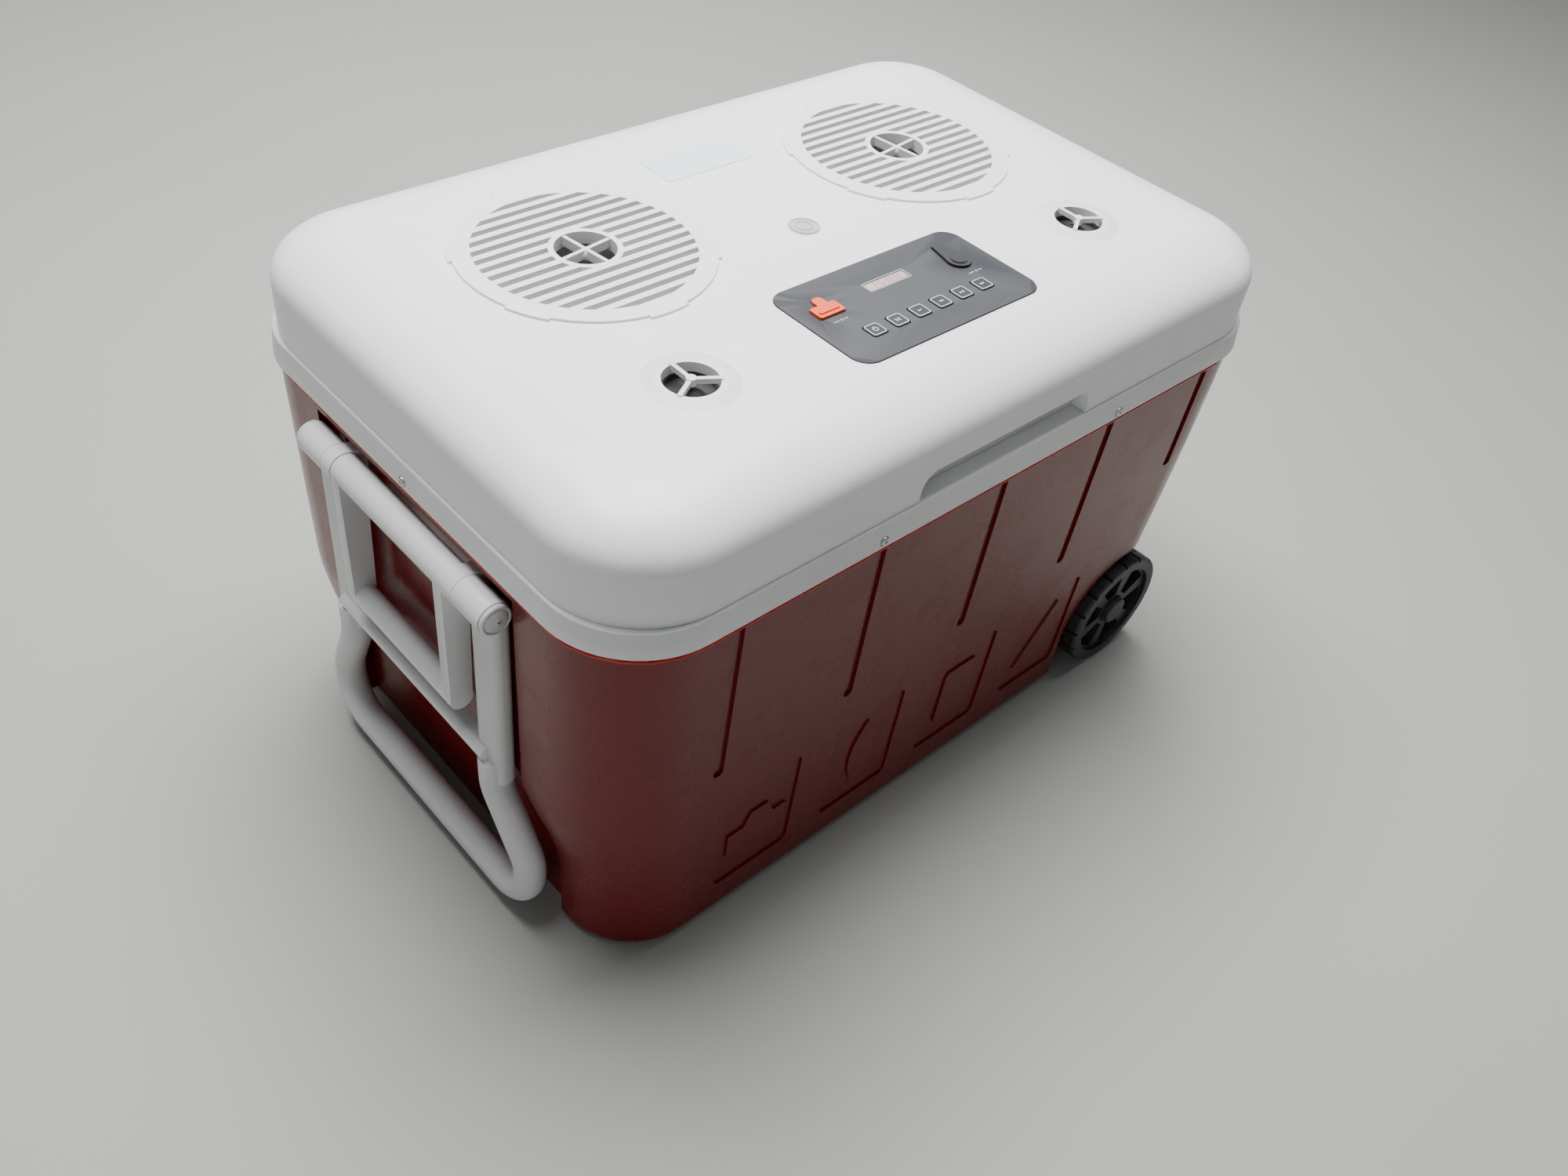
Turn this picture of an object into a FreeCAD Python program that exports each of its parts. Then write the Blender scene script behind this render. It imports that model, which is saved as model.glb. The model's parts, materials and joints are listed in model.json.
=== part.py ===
"""Wheeled hard cooler with a speaker lid.

Frame: origin on the floor under the middle of the box, +Z up, +X towards the
wheels, -Y towards the front (the side with the finger recess in the lid).
The tow handle and the carry handle hang on the -X end. All sizes are in mm.
"""
import FreeCAD
import Part
import math
import os

os.makedirs("parts", exist_ok=True)
V = FreeCAD.Vector
X_AXIS = V(1, 0, 0)
Y_AXIS = V(0, 1, 0)
Z_AXIS = V(0, 0, 1)

# ---- Overall sizes ----
LENGTH = 700.0            # over the white rim, along X
WIDTH = 464.0             # over the white rim, along Y
HEIGHT = 440.0            # floor to the flat top of the lid
LID_HEIGHT = 72.5         # lid dome above the split line
RIM_HEIGHT = 20.0         # white band under the split line
CORNER_R = 73.0           # rim corner radius in plan

# ---- Skins and clearances ----
SKIN = 3.0                # moulded wall of the lid, liner and shell
FIT_GAP = 0.4             # between neighbouring mouldings
SLIDE_GAP = 0.5           # between a key or flap and its pocket
PIVOT_GAP = 0.06          # radial clearance of a turning bore on its pin

# ---- Box body ----
SHELL_INSET = SKIN + FIT_GAP  # red shell inside the rim outline at its top
SHELL_DRAFT = 0.028       # inward lean of the long walls per mm of height
HEEL_DEPTH = 13.5         # how far the handle end steps in near the floor
HEEL_TOP = 160.0          # height where that step starts
HEEL_BOTTOM = 60.0        # height where that step ends
WHEEL_END_LEAN = 34.0     # inward lean of the wheel end, rim to axle
HEEL_STEPS = 8            # sections through the heel's bend
END_STEPS = 4             # sections between the heel and the rim
FOOT_EDGE_R = 9.0         # rounding of the shell's bottom edge
TUB_WALL = 42.0           # rim outline to tub wall, at the tub's mouth
TUB_DRAFT = 0.035
TUB_FLOOR_Z = 44.0
TUB_STEP_X = LENGTH / 2 - 172.0  # where the floor rises over the wheels
TUB_STEP_Z = 152.0
TUB_CORNER_R = 38.0

# ---- Grooves and reliefs of the long walls ----
GROOVE_PITCH = 128.0
GROOVE_SHIFT = 8.0
GROOVE_WIDTH = 9.0
GROOVE_DEPTH = 2.2
GROOVE_END_Z = 188.0
PANEL_W = 77.0
PANEL_H = 110.0
PANEL_Z = 91.0            # middle of the relief panels
PANEL_X = -196.0          # middle of the first relief panel
PANEL_PITCH = 114.6
PANEL_DEPTH = 1.6
PANEL_R = 7.0

# ---- Wheels ----
WHEEL_R = 60.0
WHEEL_WIDTH = 27.0
WHEEL_X = LENGTH / 2 - 85.0
WHEEL_FACE_Y = 229.0      # outer face of each wheel
AXLE_R = 5.0
ARCH_GAP = 11.0           # wheel arch radius beyond the tyre
TREAD_DEPTH = 3.2
TREAD_COUNT = 34
SPOKE_COUNT = 6

# ---- Handles ----
PIVOT_X = -LENGTH / 2 - 5.0
PIVOT_Z = 320.0
ROD_R = 4.0
SLEEVE_R = 12.5
CARRY_HALF = 70.0         # half width of the carry handle
BRACKET_W = 12.0
TOW_SLEEVE_W = 31.0
ROD_END = 3.0             # rod end disc beyond the tow sleeve
CARRY_DROP = 115.0        # pivot to carry grip
CARRY_GRIP_R = 9.4
CARRY_ARM_W = 10.0
CARRY_OUT = 2.0           # carry grip stands this far outside the pivot
TOW_TUBE_R = 12.5         # tube of the lower loop
TOW_ARM_T = 16.0          # thickness of the flat upper arms
TOW_ARM_X = PIVOT_X + 6.7  # middle of the upper arms
TOW_DROP = 300.0          # pivot to tow grip
TOW_GRIP_X = PIVOT_X + 7.0
TOW_LOOP_Y = 133.0        # half width of the lower loop
TOW_LOOP_R = 34.0         # bend of the lower loop's corners
TOW_JOG_TOP = 135.0       # heights between which the arms splay out
TOW_JOG_END = 68.0
TOW_LEDGE_DROP = 149.0    # pivot to the cross strip
RECESS_X = PIVOT_X + 17.5  # wall behind the handles
RECESS_FOOT_X = PIVOT_X + 37.0  # the same wall near the floor
RECESS_LOW_HALF = 148.0   # half width of the pocket round the tow grip
RECESS_WIDE = (150.0, 104.0)  # heights between which the pocket widens

# ---- Lid ----
LID_INSET = 4.3           # lid wall inside the rim outline
DOME_RUN = 60.0           # width of the rounded shoulder
DOME_RISE = 33.0          # height of the rounded shoulder
PLUG_DEPTH = 13.0         # lid liner below the split line
PLUG_GAP = 2.0            # lid plug to tub mouth
BAY_FLOOR = 5.0           # electronics bay floor above the split line
GRIP_HALF = 91.0
GRIP_HEIGHT = 22.0
GRIP_DEPTH = 13.0

# ---- Speakers ----
WOOFER_X = 160.4
WOOFER_Y = 55.7
WOOFER_FLANGE_R = 95.0
WOOFER_OPEN_R = 81.0
WOOFER_HUB_R = 27.0
SLAT_PITCH = 11.0
SLAT_SLOT = 5.6
GRILLE_PROUD = 1.8
GRILLE_DEEP = 8.0
LUG_COUNT = 6
LUG_OUT = 2.6
TWEETER_X = 199.8
TWEETER_Y = -110.3
TWEETER_OPEN_R = 19.5
TWEETER_FLANGE_R = 33.0

# ---- Control panel ----
PANEL_PLATE_W = 188.0
PANEL_PLATE_D = 101.0
PANEL_PLATE_Y = -112.7
PLATE_T = 3.0
PLATE_PROUD = 0.8
PLATE_R = 15.0
KEY_SIZE = 13.8
KEY_PITCH = 22.3
KEY_Y = -134.3
KEY_PROUD = 0.7
KEY_TRAVEL = 0.8
KEY_NAMES = ("power", "mode", "tone", "back", "play", "next")
DISPLAY = (40.0, 9.0)
DISPLAY_AT = (-2.0, -92.3)
USB_AT = (-68.0, -99.0)
USB_SIZE = (24.0, 13.0)
USB_TAB = (9.5, 9.0)
AUX_AT = (65.0, -102.0)
AUX_R = 10.0
AUX_NOSE = 22.0
AUX_BORE_R = 1.8
AUX_BORE_LENGTH = 12.0
COVER_T = 2.6

# ---- Labels, hinges, screws, drain ----
LABEL = (87.0, 40.0)
LABEL_AT = (-2.0, 123.7)
BADGE_R = 12.5
BADGE_AT = (0.0, -2.0)
HINGE_X = 205.0
HINGE_W = 62.0
HINGE_OUT = 5.6           # pin axis outside the rim
KNUCKLE_R = 4.6
HINGE_PIN_R = 2.0
SCREW_HEAD_R = 3.8
SCREW_R = 1.6
SIDE_SCREW_X = 130.0
SIDE_SCREW_SHIFT = 5.5
SCREW_DROP = 15.0         # rim screws below the split line
SCREW_SEAT = 0.4          # depth of the spot face under each rim screw
RIM_FLARE = 2.0           # rim band: how far its top stands inside its bottom
DRAIN_X = -138.4          # between the first two relief panels
DRAIN_Z = 52.0
DRAIN_R = 9.0
DRAIN_CAP_R = 14.5

# ---- Worked out from the above ----
HALF_X = LENGTH / 2
HALF_Y = WIDTH / 2
SPLIT_Z = HEIGHT - LID_HEIGHT
RIM_Z = SPLIT_Z - RIM_HEIGHT
LID_Z = SPLIT_Z + FIT_GAP
LID_HX = HALF_X - LID_INSET
LID_HY = HALF_Y - LID_INSET
LID_R = CORNER_R + 2.0
TOP_IN_Z = HEIGHT - SKIN  # underside of the lid's top skin
SHELL_TOP_Z = SPLIT_Z - SKIN - FIT_GAP
AXLE_Z = WHEEL_R
ARCH_R = WHEEL_R + ARCH_GAP
ARCH_Y = WHEEL_FACE_Y - WHEEL_WIDTH - 4.0
BRACKET_Y = CARRY_HALF + FIT_GAP
TOW_SLEEVE_Y = BRACKET_Y + BRACKET_W + FIT_GAP
TOW_SLEEVE_END = TOW_SLEEVE_Y + TOW_SLEEVE_W
TOW_ARM_Y = TOW_SLEEVE_Y + TOW_SLEEVE_W / 2
RECESS_HALF = TOW_SLEEVE_END + ROD_END + 5.0
RECESS_TOP = PIVOT_Z + SLEEVE_R + 3.5
HINGE_Y = HALF_Y + HINGE_OUT


def box(x0, x1, y0, y1, z0, z1):
    return Part.makeBox(x1 - x0, y1 - y0, z1 - z0, V(x0, y0, z0))


def rod(radius, start, end):
    """Cylinder between two points."""
    path = end - start
    return Part.makeCylinder(radius, path.Length, start, path)


def fuse(shapes):
    whole = shapes[0]
    if len(shapes) > 1:
        whole = shapes[0].multiFuse(shapes[1:])
    return whole.removeSplitter()


def rounded_wire(x0, x1, half_y, radius_left, radius_right, z):
    """Rounded rectangle at height z; left and right corners differ."""
    corners = (
        (x1, half_y, radius_right, 0),
        (x0, half_y, radius_left, 90),
        (x0, -half_y, radius_left, 180),
        (x1, -half_y, radius_right, 270),
    )
    arcs = []
    for x, y, r, start in corners:
        centre = V(x - math.copysign(r, x - (x0 + x1) / 2), y - math.copysign(r, y), z)
        arcs.append(arc_about(centre, r, start))
    edges = []
    for i, (first, last, edge) in enumerate(arcs):
        edges.append(edge)
        edges.append(Part.makeLine(last, arcs[(i + 1) % 4][0]))
    return Part.Wire(edges)


def arc_about(centre, radius, start):
    """Quarter arc from the start angle; gives its ends and its edge."""
    points = []
    for turn in (0, 45, 90):
        a = math.radians(start + turn)
        points.append(centre + V(radius * math.cos(a), radius * math.sin(a), 0))
    return points[0], points[2], Part.Arc(*points).toShape()


def slab(half_x, half_y, radius, z0, z1, cx=0.0, cy=0.0):
    """Plate with rounded corners, centred on cx, cy."""
    wire = rounded_wire(-half_x, half_x, half_y, radius, radius, z0)
    plate = Part.Face(wire).extrude(V(0, 0, z1 - z0))
    plate.translate(V(cx, cy, 0))
    return plate


def polygon(points):
    return Part.Face(Part.makePolygon([V(*p) for p in points] + [V(*points[0])]))


def mirror_y(shape):
    return shape.mirror(V(0, 0, 0), Y_AXIS)


# ---------------------------------------------------------------- box body
def smooth(t):
    """S-curve from 0 to 1."""
    t = min(max(t, 0.0), 1.0)
    return t * t * (3 - 2 * t)


def section(z, inset):
    """Outline of the red shell at height z, moved inwards by inset."""
    down = SHELL_TOP_Z - z
    heel = HEEL_DEPTH * (1 - smooth((z - HEEL_BOTTOM) / (HEEL_TOP - HEEL_BOTTOM)))
    lean = WHEEL_END_LEAN * (down / (SHELL_TOP_Z - AXLE_Z)) ** 2
    x0 = -HALF_X + SHELL_INSET + SHELL_DRAFT * down * 0.5 + heel + inset
    x1 = HALF_X - SHELL_INSET - lean - inset
    half_y = HALF_Y - SHELL_INSET - SHELL_DRAFT * down - inset
    radius = CORNER_R - SHELL_INSET - inset
    left = radius - 0.35 * heel
    return rounded_wire(x0, x1, half_y, left, radius - 0.3 * lean, z)


def body_levels(z0, z1):
    """Heights of the sections: closer together where the heel bends."""
    step = (HEEL_TOP - HEEL_BOTTOM) / HEEL_STEPS
    levels = [HEEL_BOTTOM + i * step for i in range(HEEL_STEPS + 1)]
    rise = (z1 - HEEL_TOP) / END_STEPS
    levels += [HEEL_TOP + i * rise for i in range(1, END_STEPS)]
    return [z0, (z0 + HEEL_BOTTOM) / 2] + levels + [z1]


def tapered(z0, z1, inset):
    wires = [section(z, inset) for z in body_levels(z0, z1)]
    return Part.makeLoft(wires, True, True)


def round_wheel_end(shape, inset):
    """Cut the bottom of the wheel end back to a curve about the axle."""
    radius = WHEEL_R - 5.0 - inset
    block = box(WHEEL_X, HALF_X + 50, -HALF_Y, HALF_Y, -50, AXLE_Z)
    keep = rod(radius, V(WHEEL_X, -HALF_Y - 1, AXLE_Z), V(WHEEL_X, HALF_Y + 1, AXLE_Z))
    return shape.cut(block.cut(keep))


def arches(grow):
    """Both wheel arches, open downwards and towards the wheel end."""
    r = ARCH_R + grow
    inner = ARCH_Y - grow
    shapes = []
    for side in (-1, 1):
        start = V(WHEEL_X, side * inner, AXLE_Z)
        end = V(WHEEL_X, side * (HALF_Y + 20), AXLE_Z)
        well = rod(r, start, end)
        y0, y1 = sorted((start.y, end.y))
        drop = box(WHEEL_X - r, HALF_X + 60, y0, y1, -60, AXLE_Z)
        shapes.append(well.fuse(drop))
    return shapes


def handle_recess(grow):
    """Pocket in the handle end: its side profile meets its outline."""
    top = RECESS_TOP + grow
    profile = [(-HALF_X - 40, 0, -1), (RECESS_FOOT_X + grow, 0, -1)]
    for i in range(HEEL_STEPS + 1):
        t = i / HEEL_STEPS
        x = RECESS_FOOT_X + (RECESS_X - RECESS_FOOT_X) * smooth(t)
        profile.append((x + grow, 0, HEEL_BOTTOM + t * (HEEL_TOP - HEEL_BOTTOM)))
    profile += [(RECESS_X + grow, 0, top), (-HALF_X - 40, 0, top)]
    side = polygon(profile).extrude(V(0, 2 * HALF_Y, 0))
    side.translate(V(0, -HALF_Y, 0))
    half = RECESS_HALF + grow
    low = RECESS_LOW_HALF + grow
    right = [(half, top), (half, RECESS_WIDE[0]), (low, RECESS_WIDE[1]), (low, -1)]
    left = [(-y, z) for y, z in reversed(right)]
    outline = polygon([(-HALF_X - 50, y, z) for y, z in right + left])
    return side.common(outline.extrude(V(HALF_X, 0, 0)))


def wall_y(z):
    """Distance of the long wall's face from the middle at height z."""
    return HALF_Y - SHELL_INSET - SHELL_DRAFT * (SHELL_TOP_Z - z)


def along_wall(shape_face, depth):
    """Extrude an XZ face, drawn at y=0, inwards from the front wall.

    The face is first sheared to the wall's lean by turning it about X.
    """
    tool = shape_face.extrude(V(0, depth + 6, 0))
    tool.translate(V(0, -6, 0))
    lean = math.degrees(math.atan(SHELL_DRAFT))
    tool.rotate(V(0, 0, PANEL_Z), X_AXIS, lean)
    tool.translate(V(0, -wall_y(PANEL_Z), 0))
    return tool


def xz_rounded(cx, cz, half_x, half_z, radius):
    wire = rounded_wire(-half_x, half_x, half_z, radius, radius, 0)
    face = Part.Face(wire)
    face.rotate(V(0, 0, 0), X_AXIS, 90)
    face.translate(V(cx, 0, cz))
    return face


def grooves():
    tools = []
    for i in range(-2, 3):
        x = GROOVE_SHIFT + i * GROOVE_PITCH
        bottom = GROOVE_END_Z if i < 2 else GROOVE_END_Z + 50
        top = RIM_Z + 30
        half = (top - bottom) / 2
        face = xz_rounded(x, (top + bottom) / 2, GROOVE_WIDTH / 2, half, GROOVE_WIDTH / 2.2)
        tools.append(along_wall(face, GROOVE_DEPTH))
    return tools


def relief_panels():
    """Four shallow panels, each with a plain raised shape left standing."""
    tools = []
    for i in range(4):
        cx = PANEL_X + i * PANEL_PITCH
        face = xz_rounded(cx, PANEL_Z, PANEL_W / 2, PANEL_H / 2, PANEL_R)
        tools.append(along_wall(face, PANEL_DEPTH).cut(along_wall(relief(i, cx), 40)))
    return tools


def relief(kind, cx):
    """Plain shapes: hill line, lens, can, sail."""
    cz = PANEL_Z
    if kind == 0:
        steps = ((-30, -22), (30, -22), (30, 2), (16, 2), (9, 18), (-8, 18), (-15, 4), (-30, 4))
        return polygon([(cx + a, 0, cz + b) for a, b in steps])
    if kind == 1:
        return lens(cx, cz, 15.0, 41.0)
    if kind == 2:
        return xz_rounded(cx, cz, 20, 33, 6)
    return polygon([(cx - 26, 0, cz - 30), (cx + 22, 0, cz - 30), (cx + 14, 0, cz + 36)])


def lens(cx, cz, half_x, half_z):
    """Pointed oval between two arcs."""
    top = V(cx, 0, cz + half_z)
    bottom = V(cx, 0, cz - half_z)
    one = Part.Arc(top, V(cx - half_x, 0, cz), bottom).toShape()
    two = Part.Arc(bottom, V(cx + half_x, 0, cz), top).toShape()
    return Part.Face(Part.Wire([one, two]))


def rim_screw_places():
    """Point on the rim and outward direction of each rim screw."""
    z = SPLIT_Z - SCREW_DROP
    sink = RIM_FLARE * (z - RIM_Z) / RIM_HEIGHT + SCREW_SEAT
    places = []
    for side in (-1, 1):
        for k in (-1, 1):
            x = SIDE_SCREW_SHIFT + k * SIDE_SCREW_X
            places.append((V(x, side * (HALF_Y - sink), z), V(0, side, 0)))
        places.append((V(side * (HALF_X - sink), 0, z), V(side, 0, 0)))
    return places


def screw(place, outward, head_r, shank_r, length, dome=1.8):
    """Pan head standing on a face, with its shank going inwards."""
    head = rod(head_r, place, place + outward * dome)
    rim = [e for e in head.Edges if on_far_end(e, place + outward * dome, outward)]
    head = head.makeFillet(dome * 0.7, rim)
    shank = rod(shank_r, place - outward * length, place)
    slot_dir = V(-outward.y, outward.x, 0) if abs(outward.z) < 0.5 else X_AXIS
    return head.fuse(shank).cut(cross_slot(place + outward * dome, outward, slot_dir))


def cross_slot(top, outward, along):
    """Cross recess in a screw head."""
    across = outward.cross(along)
    arms = []
    for a, b in ((along, across), (across, along)):
        corner = top - a * 1.9 - b * 0.35 - outward * 0.8
        face = Part.Face(Part.makePolygon([
            corner, corner + a * 3.8, corner + a * 3.8 + b * 0.7, corner + b * 0.7, corner]))
        arms.append(face.extrude(outward * 2))
    return arms[0].fuse(arms[1])


def on_far_end(edge, point, normal):
    return all(abs((v.Point - point).dot(normal)) < 0.01 for v in edge.Vertexes)


def screw_holes(places, radius, depth):
    return [rod(radius, p - d * depth, p + d * 4) for p, d in places]


def drain_hole(radius):
    return rod(radius, V(DRAIN_X, 100, DRAIN_Z), V(DRAIN_X, HALF_Y + 40, DRAIN_Z))


def axle_hole(radius):
    return rod(radius, V(WHEEL_X, -HALF_Y, AXLE_Z), V(WHEEL_X, HALF_Y, AXLE_Z))


def foot_block():
    """Lowest stretch of the shell, with its bottom edge rounded."""
    wires = [section(z, 0) for z in (0, FOOT_EDGE_R + 6)]
    block = Part.makeLoft(wires, True, True)
    base = [e for e in block.Edges if on_far_end(e, V(0, 0, 0), Z_AXIS)]
    return block.makeFillet(FOOT_EDGE_R, base)


def outer_shell():
    outer = tapered(FOOT_EDGE_R + 6, SHELL_TOP_Z, 0).fuse(foot_block())
    outer = round_wheel_end(outer, 0)
    inner = round_wheel_end(tapered(SKIN, SHELL_TOP_Z + 1, SKIN), SKIN)
    for well in arches(0):
        outer = outer.cut(well)
    for well in arches(SKIN):
        inner = inner.cut(well)
    outer = outer.cut(handle_recess(0))
    inner = inner.cut(handle_recess(SKIN))
    shell = outer.cut(inner)
    cuts = grooves() + relief_panels()
    cuts += [mirror_y(c) for c in cuts]
    cuts += screw_holes(rim_screw_places(), SCREW_R, 16)
    cuts += screw_holes(hinge_screw_places(lower=True), SCREW_R, 12)
    cuts += bracket_holes() + [drain_hole(DRAIN_R + FIT_GAP), axle_hole(AXLE_R)]
    return shell.cut(cuts)


def tub_core(grow, floor_drop):
    """Hollow of the tub, grown outwards; floor_drop lowers its floors."""
    top = SPLIT_Z + 1
    blocks = []
    for x_end, floor in ((TUB_STEP_X, TUB_FLOOR_Z), (HALF_X - TUB_WALL, TUB_STEP_Z)):
        z = floor - floor_drop
        wires = [tub_section(level, x_end, grow) for level in (z, top)]
        blocks.append(Part.makeLoft(wires, True, True))
    return blocks[0].fuse(blocks[1])


def tub_section(z, x_end, grow):
    """Tub outline; its handle end leans in more, to clear the heel."""
    down = SPLIT_Z - z
    x0 = -HALF_X + TUB_WALL + 0.115 * down - grow
    x1 = x_end - TUB_DRAFT * down + grow
    half_y = HALF_Y - TUB_WALL - TUB_DRAFT * down + grow
    return rounded_wire(x0, x1, half_y, TUB_CORNER_R, TUB_CORNER_R, z)


def inner_liner():
    """Tub with its flange and the skirt that shows as the white band."""
    radius = CORNER_R - RIM_FLARE
    outer = rounded_wire(-HALF_X, HALF_X, HALF_Y, CORNER_R, CORNER_R, RIM_Z)
    upper = rounded_wire(-HALF_X + RIM_FLARE, HALF_X - RIM_FLARE, HALF_Y - RIM_FLARE, radius,
                         radius, SPLIT_Z)
    skirt = Part.makeLoft([outer, upper], True, True)
    top_edges = [e for e in skirt.Edges if on_far_end(e, V(0, 0, SPLIT_Z), Z_AXIS)]
    skirt = skirt.makeFillet(1.2, top_edges)
    under = slab(HALF_X - SKIN, HALF_Y - SKIN, CORNER_R - SKIN, RIM_Z - 1, SPLIT_Z - SKIN)
    flange = skirt.cut(under)
    tub = tub_core(SKIN, SKIN)
    tub = tub.common(box(-HALF_X, HALF_X, -HALF_Y, HALF_Y, 0, SPLIT_Z))
    liner = flange.fuse(tub).cut(tub_core(0, 0))
    cuts = screw_holes(rim_screw_places(), SCREW_R, 16) + [drain_hole(DRAIN_R)]
    cuts += screw_holes(hinge_screw_places(lower=True), SCREW_R, 12)
    cuts += [rod(SCREW_HEAD_R + 0.3, p, p + d * 4) for p, d in rim_screw_places()]
    return liner.cut(cuts).removeSplitter()


def insulation_foam():
    top = SPLIT_Z - SKIN - FIT_GAP
    gap = SKIN + FIT_GAP
    foam = round_wheel_end(tapered(gap, top, gap), gap)
    for well in arches(gap):
        foam = foam.cut(well)
    foam = foam.cut(handle_recess(gap))
    foam = foam.cut(tub_core(SKIN + FIT_GAP, SKIN + FIT_GAP))
    cuts = screw_holes(rim_screw_places(), SCREW_R + 1, 20) + bracket_holes()
    cuts += [drain_hole(DRAIN_R + 8), axle_hole(AXLE_R + 1)]
    cuts += screw_holes(hinge_screw_places(lower=True), SCREW_R + 1, 16)
    return foam.cut(cuts)


# ---------------------------------------------------------------- handles
def bracket_screw_places():
    places = []
    for side in (-1, 1):
        y = side * (BRACKET_Y + BRACKET_W / 2)
        places.append((V(RECESS_X - 5, y, PIVOT_Z - 34), V(-1, 0, 0)))
    return places


def bracket_holes():
    return screw_holes(bracket_screw_places(), SCREW_R, 24)


def handle_bracket(side):
    """Lug that carries the rod between the two handles."""
    y0 = BRACKET_Y
    pivot = V(PIVOT_X, y0, PIVOT_Z)
    nose = rod(SLEEVE_R, pivot, pivot + V(0, BRACKET_W, 0))
    tail = polygon([
        (RECESS_X, y0, PIVOT_Z + SLEEVE_R - 3), (PIVOT_X, y0, PIVOT_Z + SLEEVE_R),
        (PIVOT_X - SLEEVE_R * 0.94, y0, PIVOT_Z - 4), (RECESS_X - 5, y0, PIVOT_Z - 30),
        (RECESS_X - 5, y0, PIVOT_Z - 42), (RECESS_X, y0, PIVOT_Z - 42)])
    bracket = nose.fuse(tail.extrude(V(0, BRACKET_W, 0)))
    bracket = bracket.cut(rod(ROD_R, pivot, pivot + V(0, BRACKET_W, 0)))
    if side < 0:
        bracket = mirror_y(bracket)
    return bracket.cut(bracket_holes()).removeSplitter()


def handle_rod():
    """Steel rod with a button head on each end."""
    end = TOW_SLEEVE_END + FIT_GAP
    core = rod(ROD_R, V(PIVOT_X, -end, PIVOT_Z), V(PIVOT_X, end, PIVOT_Z))
    shapes = [core]
    for side in (-1, 1):
        start = V(PIVOT_X, side * end, PIVOT_Z)
        tip = start + V(0, side * ROD_END, 0)
        head = rod(SLEEVE_R * 0.72, start, tip)
        rim = [e for e in head.Edges if on_far_end(e, tip, Y_AXIS)]
        shapes.append(head.makeFillet(1.4, rim))
    return fuse(shapes)


def pivot_bore(y0, y1):
    return rod(ROD_R + PIVOT_GAP, V(PIVOT_X, y0, PIVOT_Z), V(PIVOT_X, y1, PIVOT_Z))


def carry_handle():
    """Frame: sleeve bar, two flat arms with round ends, round grip."""
    half = CARRY_HALF
    top = rod(SLEEVE_R - 0.7, V(PIVOT_X, -half, PIVOT_Z), V(PIVOT_X, half, PIVOT_Z))
    grip_at = V(PIVOT_X - CARRY_OUT, 0, PIVOT_Z - CARRY_DROP)
    grip = rod(CARRY_GRIP_R, grip_at - V(0, half, 0), grip_at + V(0, half, 0))
    shapes = [top, grip]
    for side in (-1, 1):
        y0 = min(side * half, side * (half - CARRY_ARM_W))
        shapes.append(carry_arm(y0, grip_at))
    frame = fuse(shapes)
    return frame.cut(pivot_bore(-half - 1, half + 1))


def carry_arm(y0, grip_at):
    """Flat arm, tangent to the sleeve and to the rounded foot."""
    foot_r = CARRY_GRIP_R - 0.4
    foot = V(grip_at.x, y0, grip_at.z)
    pivot = V(PIVOT_X, y0, PIVOT_Z)
    width = V(0, CARRY_ARM_W, 0)
    ends = [rod(foot_r, foot, foot + width), rod(SLEEVE_R - 0.7, pivot, pivot + width)]
    web = polygon([
        (pivot.x - SLEEVE_R + 0.8, y0, pivot.z), (pivot.x + SLEEVE_R - 3, y0, pivot.z),
        (foot.x + foot_r - 0.2, y0, foot.z), (foot.x - foot_r + 0.05, y0, foot.z)])
    arm = fuse([web.extrude(width)] + ends)
    return arm


def tube_path(points, radii):
    """Straight runs joined by tangent arcs, one radius for each corner."""
    edges = []
    last = points[0]
    for i in range(1, len(points) - 1):
        p = points[i]
        a = (points[i - 1] - p).normalize()
        b = (points[i + 1] - p).normalize()
        half_turn = math.acos(max(-1, min(1, a.dot(b)))) / 2
        reach = radii[i - 1] / math.tan(half_turn)
        start = p + a * reach
        end = p + b * reach
        middle_dir = (a + b).normalize()
        centre = p + middle_dir * (radii[i - 1] / math.sin(half_turn))
        middle = centre - middle_dir * radii[i - 1]
        edges.append(Part.makeLine(last, start))
        edges.append(Part.Arc(start, middle, end).toShape())
        last = end
    edges.append(Part.makeLine(last, points[-1]))
    return Part.Wire(edges)


def tube_along(points, radii, radius):
    wire = tube_path(points, radii)
    direction = points[1] - points[0]
    profile = Part.Wire(Part.makeCircle(radius, points[0], direction))
    return wire.makePipeShell([profile], True, False, 2)


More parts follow.
